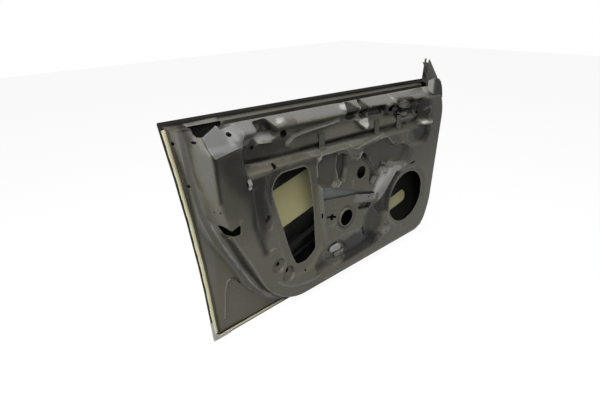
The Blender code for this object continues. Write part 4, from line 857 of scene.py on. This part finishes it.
def panel_boundary():
    """Edge of the inner panel: inside the hem, and down along the window slot."""
    gap = SHEET + WELD_GAP + 0.0002
    slot_front = front(0.080)
    slot_rear = 0.068
    slot = [(slot_front + 0.030, gap), (slot_front + 0.026, 0.0150),
            (slot_front + 0.010, 0.0240), (slot_front - 0.030, BELT_EDGE_DROP)]
    slot += [(x, BELT_EDGE_DROP) for x in np.linspace(slot_front - 0.11, 0.180, 8)]
    slot += [(0.133, 0.0210), (0.110, 0.0300), (0.089, 0.0385), (0.073, 0.0385),
             (slot_rear, 0.0300), (slot_rear, gap)]
    slot = np.array([(x, belt_line(x) - drop) for x, drop in slot])
    slot = subdivided(slot, 0.006, False)
    hem = offset(SKIN, -gap)
    hem = np.roll(hem, -int(np.argmin(np.linalg.norm(hem - slot[-1], axis=1))), axis=0)
    kept = [point for point in hem
            if not (slot_rear - 0.002 < point[0] < slot_front + 0.031
                    and point[1] > belt_line(point[0]) - 0.012)]
    return np.array(kept + list(slot))


HOLES = {
    "rear_opening": drawn((257.5, 492, 50), (330, 215, 300), (355, 155, 20), (397, 151, 20),
                          (440.5, 178, 20), (434, 340, 400), (413, 488, 30)),
    "speaker": circle(*SPEAKER, SPEAKER_RADIUS, 120),
    "round": circle(*ROUND_HOLE, 0.030, 48),
    "cross_slot": np.array(((489, 277), (505, 274), (506, 264), (517, 262), (519, 269),
                            (534, 264), (535, 272), (521, 277), (519, 286), (509, 287),
                            (507, 282), (489, 286))) / 1000,
    "upper_round": circle(0.652, 0.400, 0.0225, 40),
    "upper_small": circle(0.709, 0.350, 0.006, 20),
    "tongue": circle(0.692, 0.297, 0.004, 14),
    "dish_low": circle(0.276, 0.192, 0.008, 20),
    "dish_tab": circle(0.316, 0.150, 0.008, 20),
    "keyhole": circle(0.249, 0.365, 0.003, 14),
    "belt_window_rear": drawn((248, 639, 3), (275, 639, 3), (273, 615, 3), (246, 615, 3)),
    "belt_window_front": drawn((281, 637, 3), (292, 624, 3), (300, 609, 4), (280, 614, 3)),
    "belt_round": circle(0.333, 0.599, 0.012, 28),
    "belt_small": circle(0.224, 0.582, 0.007, 20),
    "under_ledge": circle(0.284, 0.517, 0.008, 20),
    "channel_ring": circle(0.808, 0.595, 0.013, 28),
    "front_tab": circle(0.990, 0.541, 0.009, 20),
    "pillar_slot": drawn((460, 307, 2), (461, 289, 2), (466, 289, 2), (466, 307, 2)),
    "wedge": drawn((470, 385, 3), (486, 392, 4), (523, 380, 20), (609, 347, 20), (728, 304, 2),
                   (724, 299, 2), (647, 320, 20), (467, 352, 3)),
    "latch": drawn((96, 395, 3), (113, 356, 4), (148, 354, 4), (150, 384, 4), (122, 374, 4)),
    "latch_small": circle(0.121, 0.344, 0.0028, 12),
    "speaker_slot": ellipse(0.957, 0.356, 0.018, 0.004, 6),
    "boss_hole": circle(0.806, 0.109, 0.004, 14),
    "drain": circle(0.389, 0.118, 0.004, 14),
    "land_high": ellipse(0.031, 0.624, 0.0030, 0.0055, 8, 14),
    "land_low": ellipse(0.049, 0.508, 0.0026, 0.0050, 8, 14),
    "shut_rear": ellipse(0.092, 0.432, 0.0008, 0.0034, 0, 14),
    "shut_front": ellipse(0.0985, 0.433, 0.0012, 0.0044, 0, 14),
    "end_plate": circle(0.155, 0.635, 0.0078, 24),
    "shut_high": circle(0.067, 0.628, 0.0040, 12),
}
BOLT_CIRCLE = 0.117
for angle in (35, 78, 125, 215, 300, 345):
    bolt_x = SPEAKER[0] + BOLT_CIRCLE * math.cos(math.radians(angle))
    bolt_z = SPEAKER[1] + BOLT_CIRCLE * math.sin(math.radians(angle))
    HOLES["speaker_bolt_%d" % angle] = circle(bolt_x, bolt_z, 0.0026, 12)

# Holes through the steep hinge wall, drawn along its own rise and draft
WALL_RISE = np.array((0.065790, 0.0, 0.997833))
WALL_OUTBOARD = np.array((0.138771, 0.990282, -0.009149))
HINGE_PLACES = {"upper": HINGE_PAD, "lower": (1.116695, -0.06133, 0.205)}


def wall_hole(place, along, outboard, steps=20, power=1.0):
    """Closed hole on the hinge wall, seen square to the door."""
    turn = np.linspace(0, 2 * math.pi, steps, endpoint=False)
    up = np.sign(np.sin(turn)) * np.abs(np.sin(turn)) ** power * along
    out_by = np.sign(np.cos(turn)) * np.abs(np.cos(turn)) ** power * outboard
    spots = np.array(place) + up[:, None] * WALL_RISE + out_by[:, None] * WALL_OUTBOARD
    return counterclockwise(spots[:, (0, 2)])


for label, place in HINGE_PLACES.items():
    for side in (-1, 1):
        bolt = np.array(place) + WALL_RISE * side * 0.022
        HOLES["hinge_%s_%d" % (label, side)] = wall_hole(bolt, 0.0045, 0.0045)
HOLES["check_strap"] = wall_hole((1.125925, -0.06133, 0.345), 0.017, 0.008, 24, 0.4)
HOLES["wiring"] = wall_hole((1.129881, -0.06133, 0.405), 0.018, 0.018, 32)
HOLES = {name: counterclockwise(hole, 0.005) for name, hole in HOLES.items()}


WALL_SHARES = (-0.3, 0.3, 0.7, 1.3)
FOLD_HALF = 0.0015


def beside(line, half, shares):
    """Lines that run beside a line, at shares of a half width."""
    along = np.gradient(line, axis=0)
    along /= np.linalg.norm(along, axis=1)[:, None]
    out_by = np.stack([along[:, 1], -along[:, 0]], axis=1)
    return [line + out_by * half * share for share in shares]


def panel_creases():
    """Lines that the panel's facets follow."""
    lines = []
    for share in (-0.10, 0.0, 0.10, 0.25, 0.42, 0.58, 0.75, 0.90, 1.0, 1.10):
        lines.append((offset(FACE, FACE_DROP * share), True))
    for share in WALL_SHARES:
        lines.append((offset(LAND, LAND_DRAFT * LAND_DEPTH * share), True))
        lines.append((offset(SKIN, -RIM_START - RIM_RUN * share), True))
    for start, end, steps in ((STAIR_END, SLOPE_FRONT, SLOPE_STEPS),
                              (STAIR_START, STAIR_END + STAIR_BLEND, STAIR_STEPS),
                              (CHANNEL_REAR, CHANNEL_AHEAD, CHANNEL_STEPS)):
        for drop, depth in steps[1:]:
            for side in (-FOLD_HALF, FOLD_HALF):
                lines.append((belt_run(start, end, drop + side), False))
    for start, run in ((CHANNEL_REAR, CHANNEL_END_RUN), (CHANNEL_AHEAD, -CHANNEL_END_RUN)):
        for share in WALL_SHARES:
            x = start + run * share
            ends = np.array([(x, belt_line(x) - BELT_NOSE_DROP), (x, belt_line(x) - LEDGE_DROP)])
            lines.append((subdivided(ends, 0.005, False), False))
    for outline, rise, wall, tilt in FORMS:
        for share in WALL_SHARES:
            lines.append((offset(outline, wall * share), True))
    for line, rise, half in BEADS + [(BOW, BOW_RISE, BOW_HALF)]:
        sides = beside(line, half, (-0.9, -0.45, 0.45, 0.9))
        lines += [(run, False) for run in [line] + sides]
    return lines


STEEPEST = 6.0


def sheet_faces(corners, near, far, triangles):
    """Places and faces of a closed sheet from its two sides."""
    count = len(corners)
    places = np.concatenate([in_row(corners[:, 0], near, corners[:, 1]),
                             in_row(corners[:, 0], far, corners[:, 1])])
    faces = triangles.tolist()
    borders = set()
    for a, b, c in faces:
        borders.update(((a, b), (b, c), (c, a)))
    rims = [(b, a, a + count, b + count) for a, b in borders if (b, a) not in borders]
    return places, faces + (triangles[:, ::-1] + count).tolist() + rims


def slope_factor(corners, depths, triangles):
    """How much longer a step along y is than the sheet's thickness at each corner."""
    sides = np.column_stack([corners[:, 0], -depths, corners[:, 1]])[triangles]
    normal = np.cross(sides[:, 1] - sides[:, 0], sides[:, 2] - sides[:, 0])
    size = np.linalg.norm(normal, axis=1)
    factor = np.minimum(size / np.maximum(np.abs(normal[:, 1]), 1e-12), STEEPEST)
    total = np.zeros(len(corners))
    share = np.zeros(len(corners))
    for column in range(3):
        np.add.at(total, triangles[:, column], factor)
        np.add.at(share, triangles[:, column], 1.0)
    return total / share


def add_sheet(name, boundary, depth, thickness, material, node, holes=(), creases=(),
              spacing=0.008, back=None):
    """Closed sheet with its cabin side at depth(points), and its other side a thickness
    behind that or at back(points)."""
    boundary = subdivided(boundary, spacing * 0.8)
    lines = [line for line, closed in creases] + list(holes)
    fill = grid_fill(boundary, spacing, clear=spacing * 0.45, lines=lines)
    corners, triangles = triangulated(boundary, list(holes), list(creases), fill)
    near = depth(corners)
    if back:
        far = back(corners)
    else:
        far = near - thickness * slope_factor(corners, near, triangles)
        far = np.maximum(far, skin_depth(*corners.T) + SHEET + WELD_GAP)
    places, faces = sheet_faces(corners, near, far, triangles)
    return add_piece(name, places, faces, material, node, sharp=40.0)


def dust_and_light_patch(soft, cover, *corners):
    """Patch of dust and painted light: soft edge and corners in millimetres, cover 0 (painted
    deep shade) to 1 (painted highlight).
    """
    return np.array(corners) / 1000, soft / 1000, cover


# Patches of dust and painted light: low levels paint shade in hollows and under ledges, high
# levels paint highlights on slopes and edges
DUST_AND_LIGHT = [
    dust_and_light_patch(26, 0.07, (150, 600), (300, 560), (300, 500), (262, 470), (262, 380), (230, 300),
           (180, 440), (120, 500), (92, 590)),
    dust_and_light_patch(14, 0.02, (205, 470), (208, 361), (240, 250), (222, 250), (190, 368)),
    dust_and_light_patch(5, 0.40, (190, 538), (400, 522), (970, 506), (970, 499), (790, 499), (660, 482),
           (640, 462), (600, 475), (570, 506), (450, 508), (190, 503)),
    dust_and_light_patch(6, 0.16, (240, 500), (450, 504), (450, 480), (300, 486), (262, 460)),
    dust_and_light_patch(4, 0.66, (447, 503), (455, 330), (478, 180), (494, 180), (472, 330), (461, 503)),
    dust_and_light_patch(6, 0.44, (63, 612), (84, 616), (91, 566), (95, 477), (101, 436), (117, 396),
           (106, 378), (84, 452), (68, 524)),
    dust_and_light_patch(8, 0.66, (79, 394), (89, 354), (104, 261), (84, 148), (74, 142), (71, 222),
           (72, 319), (69, 392)),
    dust_and_light_patch(6, 0.10, (98, 356), (130, 270), (180, 165), (245, 75), (265, 80), (200, 180),
           (150, 290), (115, 362)),
    dust_and_light_patch(3, 0.88, (86, 398), (96, 383), (120, 314), (167, 218), (166, 186), (139, 245),
           (115, 311), (95, 362)),
    dust_and_light_patch(4, 0.86, (113, 340), (168, 216), (220, 115), (300, 28), (251, 53), (186, 148),
           (135, 260)),
    dust_and_light_patch(10, 0.08, (211, 618), (229, 604), (352, 590), (359, 548), (250, 553), (203, 560)),
    dust_and_light_patch(6, 0.74, (380, 660), (1030, 640), (1030, 600), (380, 625)),
    dust_and_light_patch(6, 0.76, (180, 675), (620, 660), (620, 632), (310, 640), (245, 632), (225, 610),
           (200, 596), (175, 600)),
    dust_and_light_patch(6, 0.10, (360, 600), (560, 606), (556, 594), (400, 584)),
    dust_and_light_patch(6, 0.48, (540, 582), (851, 556), (925, 514), (724, 524), (475, 538), (475, 572)),
    dust_and_light_patch(4, 0.04, (400, 541), (700, 533), (900, 512), (900, 505), (400, 528)),
    (ellipse(0.619, 0.612, 0.034, 0.025, -6), 0.004, 0.03),
    (ellipse(0.678, 0.608, 0.022, 0.029), 0.004, 0.02),
    dust_and_light_patch(4, 0.04, (700, 618), (780, 612), (790, 583), (700, 585)),
    dust_and_light_patch(8, 0.05, (790, 615), (863, 618), (940, 612), (990, 567), (967, 528), (927, 512),
           (870, 545), (790, 575)),
    dust_and_light_patch(3, 1.0, (633, 584), (696, 580), (698, 556), (680, 544)),
    (ellipse(0.583, 0.634, 0.018, 0.006, 6), 0.004, 1.0),
    dust_and_light_patch(5, 0.96, (297, 634), (318, 644), (350, 643), (342, 634), (317, 630)),
    dust_and_light_patch(4, 0.88, (236, 609), (302, 608), (303, 590), (240, 588)),
    dust_and_light_patch(3, 0.06, (238, 648), (290, 648), (304, 612), (236, 612)),
    dust_and_light_patch(4, 0.95, (814, 616), (826, 630), (840, 622)),
    dust_and_light_patch(4, 0.85, (857, 596), (890, 606), (930, 592), (900, 576)),
    dust_and_light_patch(4, 0.70, (892, 556), (930, 558), (928, 546), (895, 546)),
    dust_and_light_patch(10, 0.08, (982, 600), (1050, 590), (1062, 515), (986, 524)),
    dust_and_light_patch(3, 1.0, (998, 503), (1018, 513), (1055, 508), (1060, 497), (1025, 492)),
    dust_and_light_patch(10, 0.04, (950, 490), (1044, 487), (1056, 451), (1034, 425), (985, 440)),
    dust_and_light_patch(10, 0.20, (650, 474), (775, 492), (820, 452), (925, 446), (960, 400), (930, 366),
           (820, 400), (745, 372), (708, 430)),
    dust_and_light_patch(14, 0.36, (857, 498), (950, 494), (960, 440), (880, 440)),
    dust_and_light_patch(5, 0.10, (655, 470), (690, 452), (735, 364), (712, 336), (703, 352), (703, 398),
           (656, 452)),
    dust_and_light_patch(8, 0.24, (453, 503), (535, 491), (539, 444), (531, 398), (517, 386), (456, 407)),
    dust_and_light_patch(6, 0.10, (543, 489), (577, 478), (578, 438), (565, 394), (544, 403)),
    dust_and_light_patch(10, 0.10, (736, 262), (740, 310), (808, 352), (800, 372), (745, 366), (722, 340),
           (712, 300)),
    dust_and_light_patch(10, 0.12, (744, 248), (806, 290), (858, 345), (884, 338), (846, 283), (836, 186),
           (790, 190)),
    dust_and_light_patch(8, 0.86, (821, 392), (858, 380), (898, 362), (854, 347), (799, 293), (745, 254),
           (735, 275), (740, 310), (808, 350)),
    dust_and_light_patch(4, 1.0, (786, 386), (794, 399), (804, 392)),
    dust_and_light_patch(4, 0.90, (887, 362), (906, 371), (923, 360), (905, 350)),
    dust_and_light_patch(4, 0.05, (645, 268), (663, 280), (714, 262), (712, 246), (650, 260)),
    dust_and_light_patch(3, 0.85, (617, 296), (631, 319), (666, 321), (727, 294), (727, 276), (654, 283)),
    dust_and_light_patch(22, 0.13, (712, 256), (767, 244), (800, 192), (785, 135), (720, 108), (676, 160),
           (690, 215)),
    dust_and_light_patch(12, 0.02, (570, 150), (639, 162), (715, 145), (768, 116), (767, 74), (600, 66),
           (560, 70), (600, 105)),
    dust_and_light_patch(6, 0.22, (760, 126), (784, 146), (836, 142), (844, 104), (811, 87), (778, 88)),
    dust_and_light_patch(4, 0.84, (771, 124), (790, 138), (828, 132), (834, 110), (811, 98), (786, 99)),
    dust_and_light_patch(12, 0.16, (430, 75), (470, 135), (500, 100), (520, 78)),
    dust_and_light_patch(8, 0.10, (254, 500), (330, 506), (300, 480), (275, 450), (262, 400)),
    dust_and_light_patch(5, 0.66, (68, 643), (83, 641), (86, 620), (87, 581), (89, 536), (94, 476),
           (95, 443), (87, 471), (74, 517), (65, 563), (63, 609)),
    dust_and_light_patch(5, 0.0, (81, 629), (86, 609), (88, 589), (91, 571), (90, 545), (92, 502), (96, 462),
           (103, 462), (101, 502), (100, 545), (101, 571), (99, 589), (96, 609), (90, 630)),
    dust_and_light_patch(5, 0.74, (24, 661), (41, 662), (54, 625), (63, 572), (69, 515), (79, 437),
           (91, 326), (81, 322), (63, 415), (53, 493), (45, 565), (36, 609), (25, 639)),
    dust_and_light_patch(3, 0.22, (55, 642), (64, 643), (62, 609), (65, 553), (76, 492), (70, 499),
           (62, 542), (58, 589)),
    dust_and_light_patch(8, 0.91, (765, 377), (804, 382), (862, 376), (875, 360), (848, 332), (771, 311),
           (725, 288), (712, 306), (735, 344)),
    dust_and_light_patch(4, 0.95, (1022, 618), (1035, 625), (1045, 645), (1110, 640), (1110, 610),
           (1034, 608)),
]
# Painted highlights on edges and the bow, face and land tone, painted light toward the sill, and
# the painted shadow beside the hem
EDGE_HIGHLIGHT = 0.86
EDGE_HIGHLIGHT_WIDTH = 0.0032
LIGHTER_BELOW = 0.44
FACE_TONE = 0.26
SILL_LIGHT = 0.27
LAND_TONE = 0.47
HEM_SHADOW_LINE = 0.0205
HEM_SHADOW_HALF = 0.0065
HEM_SHADOW_LOSS = 0.40


def dust_and_light_cover(points):
    """Dust and painted light on the panel: painted light low down and on edges, painted shade in
    the hollows.
    """
    # Painted light: the face gets lighter toward the sill
    cover = FACE_TONE + SILL_LIGHT * clamped((LIGHTER_BELOW - points[:, 1]) / 0.18)
    land = clamped(signed_distance(points, FACE_FOOT, 0.05) / 0.004)
    cover += land * (LAND_TONE - cover)
    for corners, soft, level in DUST_AND_LIGHT:
        outline = counterclockwise(corners, 0.008)
        share = clamped(0.5 - signed_distance(points, outline, 2 * soft) / (2 * soft))
        cover += share * share * (3 - 2 * share) * (level - cover)
    # Painted shadow: a dark line beside the hem on the shut face
    inset = -signed_distance(points, SKIN, 0.06)
    rear = clamped((0.16 - points[:, 0]) / 0.02)
    cover -= HEM_SHADOW_LOSS * rear * clamped(1 - np.abs(inset - HEM_SHADOW_LINE) / HEM_SHADOW_HALF)
    # Painted highlights: light edges low on the face and the land, on the beads and round the
    # openings
    for outline in (FACE, LAND):
        low = clamped((0.36 - points[:, 1]) / 0.10)
        width = EDGE_HIGHLIGHT_WIDTH * (1 + 1.3 * clamped((points[:, 0] - 0.80) / 0.10))
        near = clamped(1 - np.abs(signed_distance(points, outline, 0.01)) / width)
        cover += near * low * (EDGE_HIGHLIGHT - cover)
    for line, rise, half in BEADS:
        share = clamped(1.2 - line_distance(points, line, False) / half)
        cover += share * clamped((rise - 0.0012) / 0.0010) * (EDGE_HIGHLIGHT - cover)
    share = clamped(1.2 - line_distance(points, BOW, False) / BOW_HALF)
    cover += share * (BOW_HIGHLIGHT - cover)
    for name in ("rear_opening", "speaker", "round"):
        share = clamped(1 - np.abs(signed_distance(points, HOLES[name], 0.01)) / 0.003)
        cover += share * (EDGE_HIGHLIGHT - cover)
    return clamped(cover)


panel_primer = dipped("panel_primer", (0.128, 0.121, 0.090), (0.170, 0.162, 0.126),
                      smudge=0.04, dust_and_top_light=0.15, fold_highlight=0.05, rough=0.20, specular=0.16,
                      hollow_shade=0.80, cover="dust_and_light_cover")
CREASES = panel_creases() + [(SPEAKER_SEAT, True), (offset(SPEAKER_SEAT, SEAT_WALL), True),
                             (PAN, True), (offset(PAN, PAN_WALL), True),
                             (offset(PAN, -0.002), True)]
inner_panel = add_sheet("inner_panel_sheet", panel_boundary(), panel_depth, SHEET,
                        panel_primer, "inner_panel", list(HOLES.values()), CREASES,
                        spacing=0.0062)


def lay_dust_and_light(piece, cover):
    """Write a piece's dust and painted light level, which the primer reads, at each of its
    points.
    """
    spots = np.empty(3 * len(piece.data.vertices))
    piece.data.vertices.foreach_get("co", spots)
    spots = spots.reshape(-1, 3) + HINGE_PAD
    covered = piece.data.attributes.new("dust_and_light_cover", "FLOAT", "POINT")
    covered.data.foreach_set("value", cover(spots[:, (0, 2)]).astype(np.float32))


lay_dust_and_light(inner_panel, dust_and_light_cover)


# Stiffening patches.
# Pale yellow heat-cured sheets stuck to the skin's inner side, seen through the
# openings.

PATCH_SHEET = 0.0012
patch_yellow = dipped("patch_yellow", (0.54, 0.51, 0.26), (0.62, 0.60, 0.38),
                      smudge=0.5, dust_and_top_light=0.1, fold_highlight=0.0, rough=0.62, bump=0.15)


def patch_depth(points):
    """Depth of the patches' cabin side."""
    return skin_depth(*points.T) + SHEET + WELD_GAP + PATCH_SHEET


for node, corners in (
        ("skin_patch_rear", [(0.300, 0.384, 0.02), (0.300, 0.241, 0.02), (0.600, 0.308, 0.02),
                             (0.600, 0.454, 0.02)]),
        ("skin_patch_front", [(front(0.480), 0.138, 0.02), (front(0.480), 0.086, 0.02),
                              (front(0.148), 0.150, 0.022), (front(0.148), 0.200, 0.022)])):
    add_sheet(node + "_sheet", counterclockwise(rounded(corners)), patch_depth, PATCH_SHEET,
              patch_yellow, node, spacing=0.02)


# Beams, brackets and plates inside the door.
# Pressed high-strength steel, welded on before the dip; the plates behind the hinges,
# the door check and the latch keep a bare grey look.


def dress(material, *nodes):
    """Give CAD nodes that stay their finish."""
    for node in nodes:
        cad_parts[node].data.materials.clear()
        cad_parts[node].data.materials.append(material)


beam_black = dipped("beam_primer", (0.005, 0.005, 0.005), (0.012, 0.012, 0.012), smudge=0.1,
                    dust_and_top_light=0.0, fold_highlight=0.0, rough=0.30, specular=0.10)
dress(beam_black, "intrusion_beam")
bracket_black = dipped("bracket_primer", (0.022, 0.022, 0.020), (0.08, 0.08, 0.07))
dress(bracket_black, "beam_bracket_rear", "beam_bracket_front")
plate_grey = dipped("plate_grey", (0.105, 0.112, 0.118), (0.20, 0.20, 0.19), rough=0.36)
dress(plate_grey, "latch_reinforcement", "hinge_reinforcement_upper",
      "hinge_reinforcement_lower", "check_strap_reinforcement")
bracket_blue = dipped("bracket_blue_grey", (0.085, 0.092, 0.100), (0.15, 0.15, 0.15),
                      hollow_shade=0.7)
WEDGE_FLOOR = offset(HOLES["wedge"], -0.0015)
WEDGE_LAP = 0.003
PLATE_SHEET = 0.0012
BRACKET_SUNK = 0.0065
BRACKET_BEHIND = 0.0022


def bracket_depth(points):
    """Depth of the armrest bracket, a little behind the panel's cabin side."""
    return np.minimum(TRIM_DEPTH - BRACKET_SUNK, panel_depth(points) - BRACKET_BEHIND)


add_sheet("armrest_bracket_plate", offset(HOLES["wedge"], WEDGE_LAP), bracket_depth,
          PLATE_SHEET, bracket_blue, "armrest_bracket",
          creases=[(WEDGE_FLOOR, True)], spacing=0.006)
nut_grey = dipped("nut_zinc", (0.30, 0.30, 0.29), (0.24, 0.23, 0.20), rough=0.38,
                  metallic=0.8)
dress(nut_grey, "hinge_nut_upper_low", "hinge_nut_upper_high", "hinge_nut_lower_low",
      "hinge_nut_lower_high")


# Belt reinforcements.
# The outer strip is folded into the skin's belt hem, the inner rail closes the belt
# slope to a box, and a stepped plate covers the rail's rear end.

strip_olive = dipped("strip_olive", (0.044, 0.042, 0.032), (0.11, 0.10, 0.08), dust_and_top_light=0.2)
rail_grey = dipped("rail_grey", (0.016, 0.016, 0.015), (0.05, 0.05, 0.045), rough=0.34,
                   specular=0.2)
end_grey = dipped("end_plate_grey", (0.116, 0.116, 0.115), (0.16, 0.16, 0.155), rough=0.30)
STRIP_REAR = 0.172
STRIP_FRONT = front(0.080)
STRIP_TOP = 0.0013
STRIP_FOOT = 0.064
OUTER_STRIP_STEPS = [(0.0155, 0.0), (0.0200, 0.011), (0.0460, 0.011), (0.0505, 0.0)]


def strip_depth(points):
    """Depth of the outer strip's cabin side."""
    drop = belt_line(points[:, 0]) - points[:, 1]
    seat = skin_depth(*points.T) + 2 * SHEET + WELD_GAP
    return seat + belt_profile(drop, OUTER_STRIP_STEPS, 0.001)


stations = np.linspace(STRIP_REAR, STRIP_FRONT, 60)
lug = np.array([(x, belt_line(x) - drop) for x, drop in (
    (STRIP_REAR, 0.0200), (0.072, 0.0200), (0.066, 0.0150), (0.066, STRIP_TOP))])
top, foot = (np.stack([stations, belt_line(stations) - drop], axis=1)
             for drop in (STRIP_TOP, STRIP_FOOT))
boundary = np.concatenate([top, foot[::-1], lug])
strip_lines = [(belt_run(STRIP_REAR, STRIP_FRONT, drop + side), False)
               for drop, rise in OUTER_STRIP_STEPS for side in (-0.001, 0.001)]
add_sheet("belt_strip_outer", counterclockwise(boundary), strip_depth, SHEET, strip_olive,
          "belt_reinforcement_outer", creases=strip_lines, spacing=0.010)
dress(rail_grey, "belt_reinforcement_inner")
END_PLATE = counterclockwise(drawn(
    (83, 640, 2), (133, 659, 3), (138, 648, 2), (171, 651, 3), (187, 655, 3), (194, 633, 4),
    (181, 602, 3), (138, 596, 3), (95, 588, 3), (87, 603, 3)))
END_PLATE_HOLE = counterclockwise(circle(0.155, 0.635, 0.0058, 24))
END_PLATE_OVER = 0.0014


def end_plate_depth(points):
    """Depth of the end plate, which lies on the corner of the belt slope."""
    return panel_depth(points) + END_PLATE_OVER


add_sheet("belt_rail_end_sheet", END_PLATE, end_plate_depth, PLATE_SHEET, end_grey,
          "belt_rail_end_plate", holes=[END_PLATE_HOLE],
          creases=[(belt_run(0.100, 0.180, drop), False)
                   for drop in (0.062, 0.066, 0.070, 0.079)], spacing=0.005)


# Mirror sail.
# Two upright sheets with a sloping strip between them carry the mirror at the front
# end of the belt, and a thin sheet closes the corner at their foot.

sail_grey = dipped("sail_primer", (0.007, 0.007, 0.006), (0.05, 0.05, 0.045), specular=0.12)
dress(sail_grey, "mirror_sail_outer", "mirror_sail_inner", "sail_slope_strip")
SAIL_CORNER = counterclockwise(drawn(
    (1022, 660, 3), (1067, 664, 3), (1091, 659, 4), (1107, 646, 6), (1119, 624, 6),
    (1126, 600, 6), (1130, 580, 4), (1100, 588, 6), (1060, 606, 6), (1024, 626, 4)))
CORNER_SHEET = 0.0015
CORNER_DEPTH = BELT_NOSE_DEPTH + WELD_GAP + CORNER_SHEET
LIGHT_END = 1.070
LIGHT_FADE = 0.014
corner_sheet = add_sheet("sail_corner_sheet", SAIL_CORNER,
                         lambda points: np.full(len(points), CORNER_DEPTH), CORNER_SHEET,
                         panel_primer, "sail_bracket", spacing=0.006)
# Painted highlight on the corner sheet, fading to the dark end of the ramp toward the front
lay_dust_and_light(corner_sheet, lambda points: clamped((LIGHT_END - points[:, 0]) / LIGHT_FADE))


# Hem sealant.
# A cream bead laid by a nozzle on the folded hem, round in section and a little
# uneven along its length.

sealant_cream = dipped("sealant_cream", (0.66, 0.62, 0.40), (0.58, 0.54, 0.36), smudge=0.5,
                       dust_and_top_light=0.0, fold_highlight=0.0, rough=0.42, bump=0.12)
dress(sealant_cream, "hem_sealant_front")
REAR_HEM = [point for point in SKIN if point[0] < REAR_LEAN + 0.02 and 0.012 < point[1]]
REAR_HEM = np.array(sorted(REAR_HEM, key=lambda point: point[1]))
BEAD_FOOT = 0.0004
BEAD_HEIGHT = 0.0022
REAR_BEAD_INSET = 0.0112
REAR_BEAD_HALF = 0.0056
LOW_BEAD_HEIGHT = 0.0075
LOW_BEAD_HALF = 0.0036


def bead_depth(points, middle, half):
    """Depth of a sealant bead over the hem, domed across its width."""
    share = clamped(line_distance(points, middle, False) / half)
    seat = skin_depth(*points.T) + HEM_STACK
    return seat + BEAD_FOOT + BEAD_HEIGHT * np.sqrt(1 - share ** 2)


def bead(name, node, middle, half):
    """Sealant bead along a line on the hem."""
    wave = half * (1 + 0.06 * np.sin(np.arange(len(middle)) * 0.9))
    one, two = beside(middle, wave[:, None], (1, -1))
    edge = np.concatenate([one, two[::-1]])
    lines = [(line, False) for line in beside(middle, half, (-0.8, -0.45, 0, 0.45, 0.8))]
    add_sheet(name, counterclockwise(edge), lambda points: bead_depth(points, middle, half),
              None, sealant_cream, node, creases=lines, spacing=0.006,
              back=lambda points: skin_depth(*points.T) + HEM_STACK)


heights = np.arange(0.022, 0.670, 0.008)
hem_edge = np.interp(heights, REAR_HEM[:, 1], REAR_HEM[:, 0])
bead("hem_sealant_rear_bead", "hem_sealant_rear",
     np.stack([hem_edge + REAR_BEAD_INSET, heights], axis=1), REAR_BEAD_HALF)
runs = np.arange(REAR_LEAN + 0.016, 0.330, 0.008)
bead("hem_sealant_bottom_bead", "hem_sealant_bottom",
     np.stack([runs, np.full(len(runs), LOW_BEAD_HEIGHT)], axis=1), LOW_BEAD_HALF)


# Corner protectors.
# Clear moulded caps clipped over the two lower corners of the hem.

cap_clear = dipped("cap_clear", (0.70, 0.72, 0.70), (0.55, 0.56, 0.53), smudge=0.4,
                   dust_and_top_light=0.0, fold_highlight=0.0, rough=0.20, bump=0.05, coat=0.3)
filled(cap_clear.node_tree.nodes["Principled BSDF"], Alpha=0.55)
dress(cap_clear, "corner_protector_rear", "corner_protector_front")


# Lower pad.
# A light foam block laid in the cup near the sill, with a small plate beside it.

pad_grey = dipped("pad_foam", (0.36, 0.36, 0.36), (0.45, 0.45, 0.44), smudge=0.5,
                  rough=0.65, bump=0.3)
dress(pad_grey, "lower_pad")
pad_plate = dipped("pad_plate_olive", (0.19, 0.185, 0.155), (0.26, 0.25, 0.21))
dress(pad_plate, "lower_pad_plate")


# Clips.
# Three pressed tabs bridge the lower part of the belt channel, and a spring steel
# clip sits at its rear end.

clip_grey = dipped("clip_grey", (0.060, 0.057, 0.047), (0.30, 0.30, 0.29), smudge=0.05,
                   dust_and_top_light=0.12, fold_highlight=0.0, specular=0.2)
dress(clip_grey, "belt_trim_clip_rear", "belt_trim_clip_middle", "belt_trim_clip_front")
spring_steel = dipped("spring_steel", (0.20, 0.20, 0.195), (0.20, 0.20, 0.19), rough=0.25,
                      metallic=0.9)
dress(spring_steel, "spring_clip")
